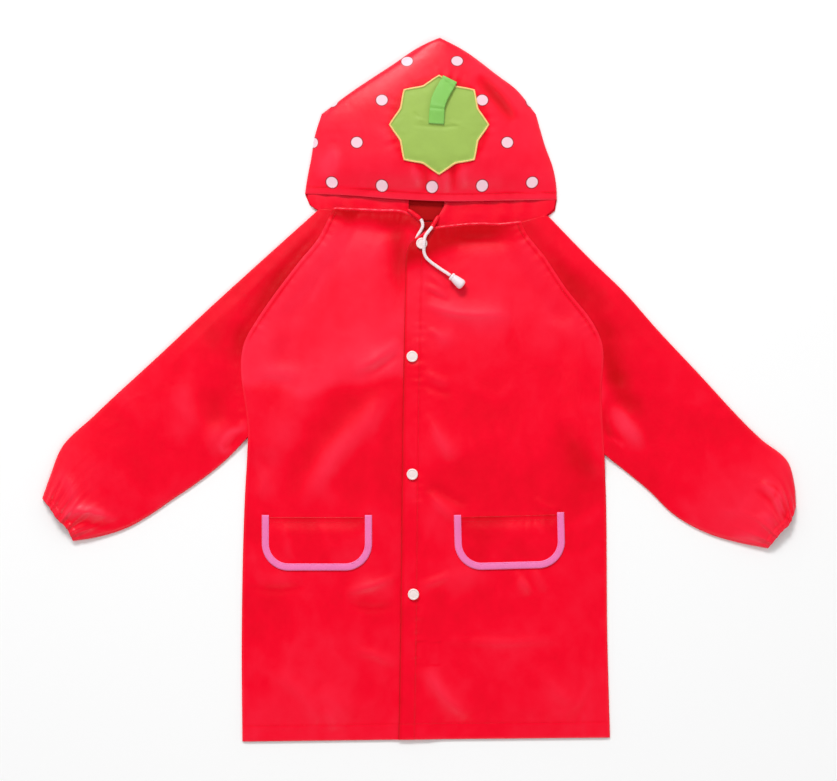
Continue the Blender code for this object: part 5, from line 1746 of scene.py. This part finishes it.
def tape_path(pitch):
    """Places and outward headings a pitch apart round a flap's free edge, with the way gone."""
    drop = FLAP_DEPTH - FLAP_CORNER
    rows = [(-FLAP_WIDTH / 2.0, down, -1.0, 0.0) for down in np.arange(-3.0, drop, pitch)]
    for angle in np.linspace(0.0, np.pi / 2.0, int(FLAP_CORNER * 1.57 / pitch)):
        out_x, out_down = -math.cos(angle), math.sin(angle)
        rows.append((-FLAP_STRAIGHT + FLAP_CORNER * out_x, drop + FLAP_CORNER * out_down, out_x, out_down))
    half = len(rows)
    foot = np.linspace(-FLAP_STRAIGHT, FLAP_STRAIGHT, int(2.0 * FLAP_STRAIGHT / pitch))[1:-1]
    rows += [(x, FLAP_DEPTH, 0.0, 1.0) for x in foot]
    rows += [(-x, down, -out_x, out_down) for x, down, out_x, out_down in rows[half - 1::-1]]
    rows = np.array(rows)
    return rows, way_gone(rows[:, :2])


class RAINCOAT_OT_flaps(bpy.types.Operator):
    """The pocket flaps with the tape round them"""

    bl_idname = "raincoat.flaps"
    bl_label = "Pocket flaps"

    def execute(self, context):
        sizes, colours = settings(context)
        shell = shell_finish("shell_red_flaps", colours.shell)
        tape = ribbon_finish("binding_pink", colours.binding, 0.0016, 0.55, 0.00003)
        bend = FLAP_CORNER - FLAP_INSET
        turn = np.linspace(np.pi / 2.0, 0.0, 20)[:-1]
        left = -FLAP_STRAIGHT - bend * np.sin(turn)
        across = np.concatenate((left, np.linspace(-FLAP_STRAIGHT, FLAP_STRAIGHT, 31), -left[::-1]))
        past = np.clip(np.abs(across) - FLAP_STRAIGHT, 0.0, bend)
        depth = FLAP_DEPTH - FLAP_INSET - bend + np.sqrt(np.maximum(bend**2 - past**2, 0.0))
        down = both_ends(FLAP_DEPTH, FLAP_PITCH, (FLAP_STITCH,))[:, None] * depth[None, :]
        rows, walk = tape_path(TAPE_PITCH)
        shares = np.array(TAPE_ROWS)
        for side in FLAPS:
            plan = flap_place(side, across, down)
            # Painted shade in the packing creases and along the top seam.
            tone = 0.35 * crumple(plan[..., 0], plan[..., 1], 90 + 5 * (side == "left"), 70.0)
            tone = tone - 0.45 * bell(down - 0.5, 1.6) - 0.2 * fade(2.0, 17.0, down)
            flap = panel_piece(f"pocket_flap_{side}_cloth", plan, lambda x, y: flap_surface(side, x, y),
                               sizes.trim_wall, shell, tone=tone)
            dress(flap, [f"pocket_flap_{side}"])
            inset = shares * BINDING_WIDTH
            x, drop = (rows[:, axis, None] - rows[:, axis + 2, None] * inset for axis in (0, 1))
            place = flap_place(side, x, drop)

            def height(x, y):
                over, from_inner = side == "left", BINDING_WIDTH * (1.0 - shares)
                roll = 1.5 * fade(-0.02, 0.14, shares) + 0.5 * fade(0.0, 0.10, 1.0 - shares)
                dome = 0.4 * (1.0 - (2.0 * shares - 1.0) ** 2) - roll
                dome = dome - 0.28 * bell(from_inner - BINDING_STITCH, 0.7)
                gathered = 0.8 * pucker(walk[:, None], from_inner, BINDING_STITCH, 15.0 + over, 5.0)
                return front_over(x, y, over) + TAPE_LIFT + dome + gathered

            binding = panel_piece(f"flap_binding_{side}_tape", place, height, sizes.trim_wall, tape,
                                  paired(inset, walk[:, None]))
            dress(binding, [f"flap_binding_{side}"])
        return {"FINISHED"}


def pick_faces(piece, wanted):
    """Selects the faces whose normal passes the test, and nothing else."""
    edit(piece, lambda: bpy.ops.mesh.select_mode(type="FACE"),
         lambda: bpy.ops.mesh.select_all(action="DESELECT"))
    for face in piece.data.polygons:
        face.select = wanted(face.normal)


def inset_by(width, depth):
    return lambda: bpy.ops.mesh.inset(thickness=width * MM, depth=depth * MM)


class RAINCOAT_OT_snaps(bpy.types.Operator):
    """The four snap caps"""

    bl_idname = "raincoat.snaps"
    bl_label = "Snaps"

    def execute(self, context):
        colours = settings(context)[1]
        select_none()
        foot, height = SNAP_SHANK, SNAP_HEIGHT - 0.5
        bpy.ops.mesh.primitive_cylinder_add(vertices=40, radius=SNAP_RADIUS * MM, depth=(height + foot) * MM,
                                            location=(0.0, 0.0, (height - foot) / 2.0 * MM))
        cap = context.active_object
        bpy.ops.object.transform_apply(location=True)
        pick_faces(cap, lambda normal: normal.z > 0.9)
        edit(cap, *(inset_by(width, depth) for width, depth in SNAP_RINGS))
        smoother = cap.modifiers.new("edges", "BEVEL")
        smoother.width, smoother.segments, smoother.limit_method = 0.00025, 2, "ANGLE"
        bpy.ops.object.modifier_apply(modifier=smoother.name)
        bpy.ops.object.shade_smooth_by_angle(angle=math.radians(40.0))
        plastic = moulded_finish("snap_white", colours.snap)
        for number in range(1, len(SNAPS) + 1):
            low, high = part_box(f"snap_{number}")
            mesh = cap.data.copy()
            mesh.transform(Matrix.Translation(((low.x + high.x) / 2.0, (low.y + high.y) / 2.0, low.z)))
            piece = finish_with(add_object(f"snap_{number}_cap", mesh), plastic)
            dress(piece, [f"snap_{number}"])
        bpy.data.objects.remove(cap, do_unlink=True)
        return {"FINISHED"}


class RAINCOAT_OT_toggle(bpy.types.Operator):
    """The bell on the end of the left drawcord"""

    bl_idname = "raincoat.toggle"
    bl_label = "Cord end"

    def execute(self, context):
        colours = settings(context)[1]
        select_none()
        half = TOGGLE_LENGTH / 2.0
        bpy.ops.mesh.primitive_circle_add(vertices=36, radius=(TOGGLE_NEAR - 1.9) * MM, fill_type="NOTHING",
                                          location=(0.0, 0.0, (-half + 2.6) * MM))
        bell = context.active_object
        bpy.ops.object.transform_apply(location=True)
        profile = (
            (TOGGLE_NEAR - 1.7, -half + 0.3), (TOGGLE_NEAR - 1.1, -half), (TOGGLE_NEAR - 0.4, -half + 0.2),
            (TOGGLE_NEAR, -half + 0.9), (TOGGLE_NEAR + 0.1, -half + 2.6), (TOGGLE_NEAR - 0.5, -half + 3.2),
            (TOGGLE_NEAR - 0.4, -half + 4.2), (TOGGLE_NEAR + 0.2, -half + 6.4),
            (TOGGLE_NEAR + 0.7, -half + 9.4),
            (TOGGLE_FAR - 0.3, half - 7.0), (TOGGLE_FAR, half - 4.2), (TOGGLE_FAR - 0.15, half - 2.6),
            (TOGGLE_FAR - 0.8, half - 1.3), (TOGGLE_FAR - 2.0, half - 0.4), (TOGGLE_FAR - 3.8, half),
        )
        only(bell)
        bpy.ops.object.mode_set(mode="EDIT")
        bpy.ops.mesh.select_mode(type="VERT")
        bpy.ops.mesh.select_all(action="SELECT")
        radius, level = TOGGLE_NEAR - 1.9, -half + 2.6
        for wide, high in profile:
            rise = (0.0, 0.0, (high - level) * MM)
            bpy.ops.mesh.extrude_region_move(TRANSFORM_OT_translate={"value": rise})
            bpy.ops.transform.resize(value=(wide / radius, wide / radius, 1.0),
                                     center_override=(0.0, 0.0, high * MM))
            radius, level = wide, high
        bpy.ops.mesh.edge_face_add()
        bpy.ops.mesh.select_all(action="DESELECT")
        bpy.ops.mesh.select_non_manifold()
        bpy.ops.mesh.edge_face_add()
        bpy.ops.object.mode_set(mode="OBJECT")
        face_outward(bell)
        bpy.ops.object.shade_smooth_by_angle(angle=math.radians(38.0))
        heading = Vector((*TOGGLE_HEADING, 0.0)).normalized()
        low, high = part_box("cord_toggle")
        seat = Matrix.Translation((low + high) / 2.0)
        bell.data.transform(seat @ Vector((0, 0, 1)).rotation_difference(heading).to_matrix().to_4x4())
        bell.name = "cord_toggle_bell"
        finish_with(bell, moulded_finish("toggle_white", colours.toggle, 0.26))
        dress(bell, ["cord_toggle"])
        return {"FINISHED"}


def height_of_nearest(spots, z):
    """A height function that gives the height of the nearest of some places."""
    return lambda x, y: z[np.hypot(x[:, None] - spots[:, 0], y[:, None] - spots[:, 1]).argmin(axis=1)]


class RAINCOAT_OT_stitches(bpy.types.Operator):
    """Topstitching of the shell and the tapes"""

    bl_idname = "raincoat.stitches"
    bl_label = "Stitches"

    def execute(self, context):
        sizes, colours = settings(context)
        step = sizes.stitch_step / MM
        under = lambda x, y: front_surface(x, y, False)
        over = lambda x, y: front_surface(x, y, True)
        hem_end = PLACKET[0][0] - RIGHT_EDGE[0][0] - 1.5
        seams = (  # line, distance from it, first and last place along it, and the surface below
            (right_edge, -RAGLAN_STITCH, way_up(right_edge, 74.0), right_edge.length - 4.0, under),
            (left_edge, RAGLAN_STITCH, way_up(left_edge, 74.0), left_edge.length - 4.0, over),
            (placket, -PLACKET_STITCH, 2.0, placket.length - 22.0, over),
            (hem_left, HEM_STITCH, 2.0, hem_left.length - 3.0, over),
            (hem_right, HEM_STITCH, 2.0, hem_end, under),
            (neck_right, -NECK_STITCH, 3.0, neck_right.length - 20.0, under),
            (neck_left, -NECK_STITCH, 14.0, neck_left.length - 3.0, over),
            (brim, BRIM_STITCH, 3.0, brim.length - 3.0, hood_surface),
        )
        shell = [(*along_line(line, inset, step, first, last), below)
                 for line, inset, first, last, below in seams]
        for sleeve in SLEEVES.values():
            u = np.linspace(0.03, 0.97, 300)
            share = 1.0 - CUFF_STITCH / sleeve.top.length
            spots, _, upper = sleeve.surface(u, np.full_like(u, share))
            gone = way_gone(spots)
            stops = np.arange(step, gone[-1], step)
            places = paired(*(np.interp(stops, gone, column) for column in spots.T))
            shell.append((places, headings(places), height_of_nearest(spots, upper)))
        for side in FLAPS:
            across = np.arange(-FLAP_WIDTH / 2.0 + 10.0, FLAP_WIDTH / 2.0 - 9.0, step)
            places = flap_place(side, across, FLAP_STITCH)
            turn = math.radians(FLAPS[side][2])
            ahead = np.broadcast_to((math.cos(turn), math.sin(turn)), places.shape)
            shell.append((places, ahead, lambda x, y, side=side: flap_surface(side, x, y)))
        thread = thread_finish("shell_thread", shade(colours.shell, 0.92))
        dress(stitch_mesh("shell_stitching", shell, sizes, thread), [])
        rows, walk = tape_path(0.5)
        tape = []
        for side in FLAPS:
            stops = np.arange(4.0, walk[-1] - 3.0, step)
            at = [np.interp(stops, walk, rows[:, column]) for column in range(4)]
            inset = BINDING_WIDTH - BINDING_STITCH
            places = flap_place(side, at[0] - at[2] * inset, at[1] - at[3] * inset)
            level = lambda x, y, side=side: front_over(x, y, side == "left") + TAPE_LIFT + THREAD_LIFT
            tape.append((places, headings(places), level))
        thread = thread_finish("binding_thread", colours.binding)
        dress(stitch_mesh("binding_stitching", tape, sizes, thread), [])
        return {"FINISHED"}


MAKERS = (
    RAINCOAT_OT_stage, RAINCOAT_OT_toggle, RAINCOAT_OT_drawcords, RAINCOAT_OT_back, RAINCOAT_OT_fronts,
    RAINCOAT_OT_sleeves, RAINCOAT_OT_hood, RAINCOAT_OT_collars, RAINCOAT_OT_leaf, RAINCOAT_OT_stem,
    RAINCOAT_OT_flaps, RAINCOAT_OT_snaps, RAINCOAT_OT_stitches,
)


class RAINCOAT_PT_panel(bpy.types.Panel):
    """Makes the coat's pieces one by one, with their sizes and colours"""

    bl_idname = "RAINCOAT_PT_panel"
    bl_label = "Raincoat"
    bl_space_type = "VIEW_3D"
    bl_region_type = "UI"
    bl_category = "Raincoat"

    def draw(self, context):
        for maker in MAKERS:
            self.layout.operator(maker.bl_idname)
        for group in (*settings(context), context.scene.raincoat_stage):
            box = self.layout.box()
            for field in group.bl_rna.properties:
                if not field.is_readonly and field.identifier != "name":
                    box.prop(group, field.identifier)


CLASSES = (RaincoatSizes, RaincoatColours, RaincoatStage, *MAKERS, RAINCOAT_PT_panel)


def register():
    for each in CLASSES:
        bpy.utils.register_class(each)
    bpy.types.Scene.raincoat_sizes = bpy.props.PointerProperty(type=RaincoatSizes)
    bpy.types.Scene.raincoat_colours = bpy.props.PointerProperty(type=RaincoatColours)
    bpy.types.Scene.raincoat_stage = bpy.props.PointerProperty(type=RaincoatStage)


def unregister():
    del bpy.types.Scene.raincoat_stage
    del bpy.types.Scene.raincoat_colours
    del bpy.types.Scene.raincoat_sizes
    for each in reversed(CLASSES):
        bpy.utils.unregister_class(each)


def corners(bounds):
    return [[float(value) for value in corner] for corner in bounds]


def main():
    register()
    for maker in MAKERS:
        group, name = maker.bl_idname.split(".")
        getattr(getattr(bpy.ops, group), name)()
    {"cad": corners(CAD_BOX), "visual": corners(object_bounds())}


if __name__ == "__main__":
    main()
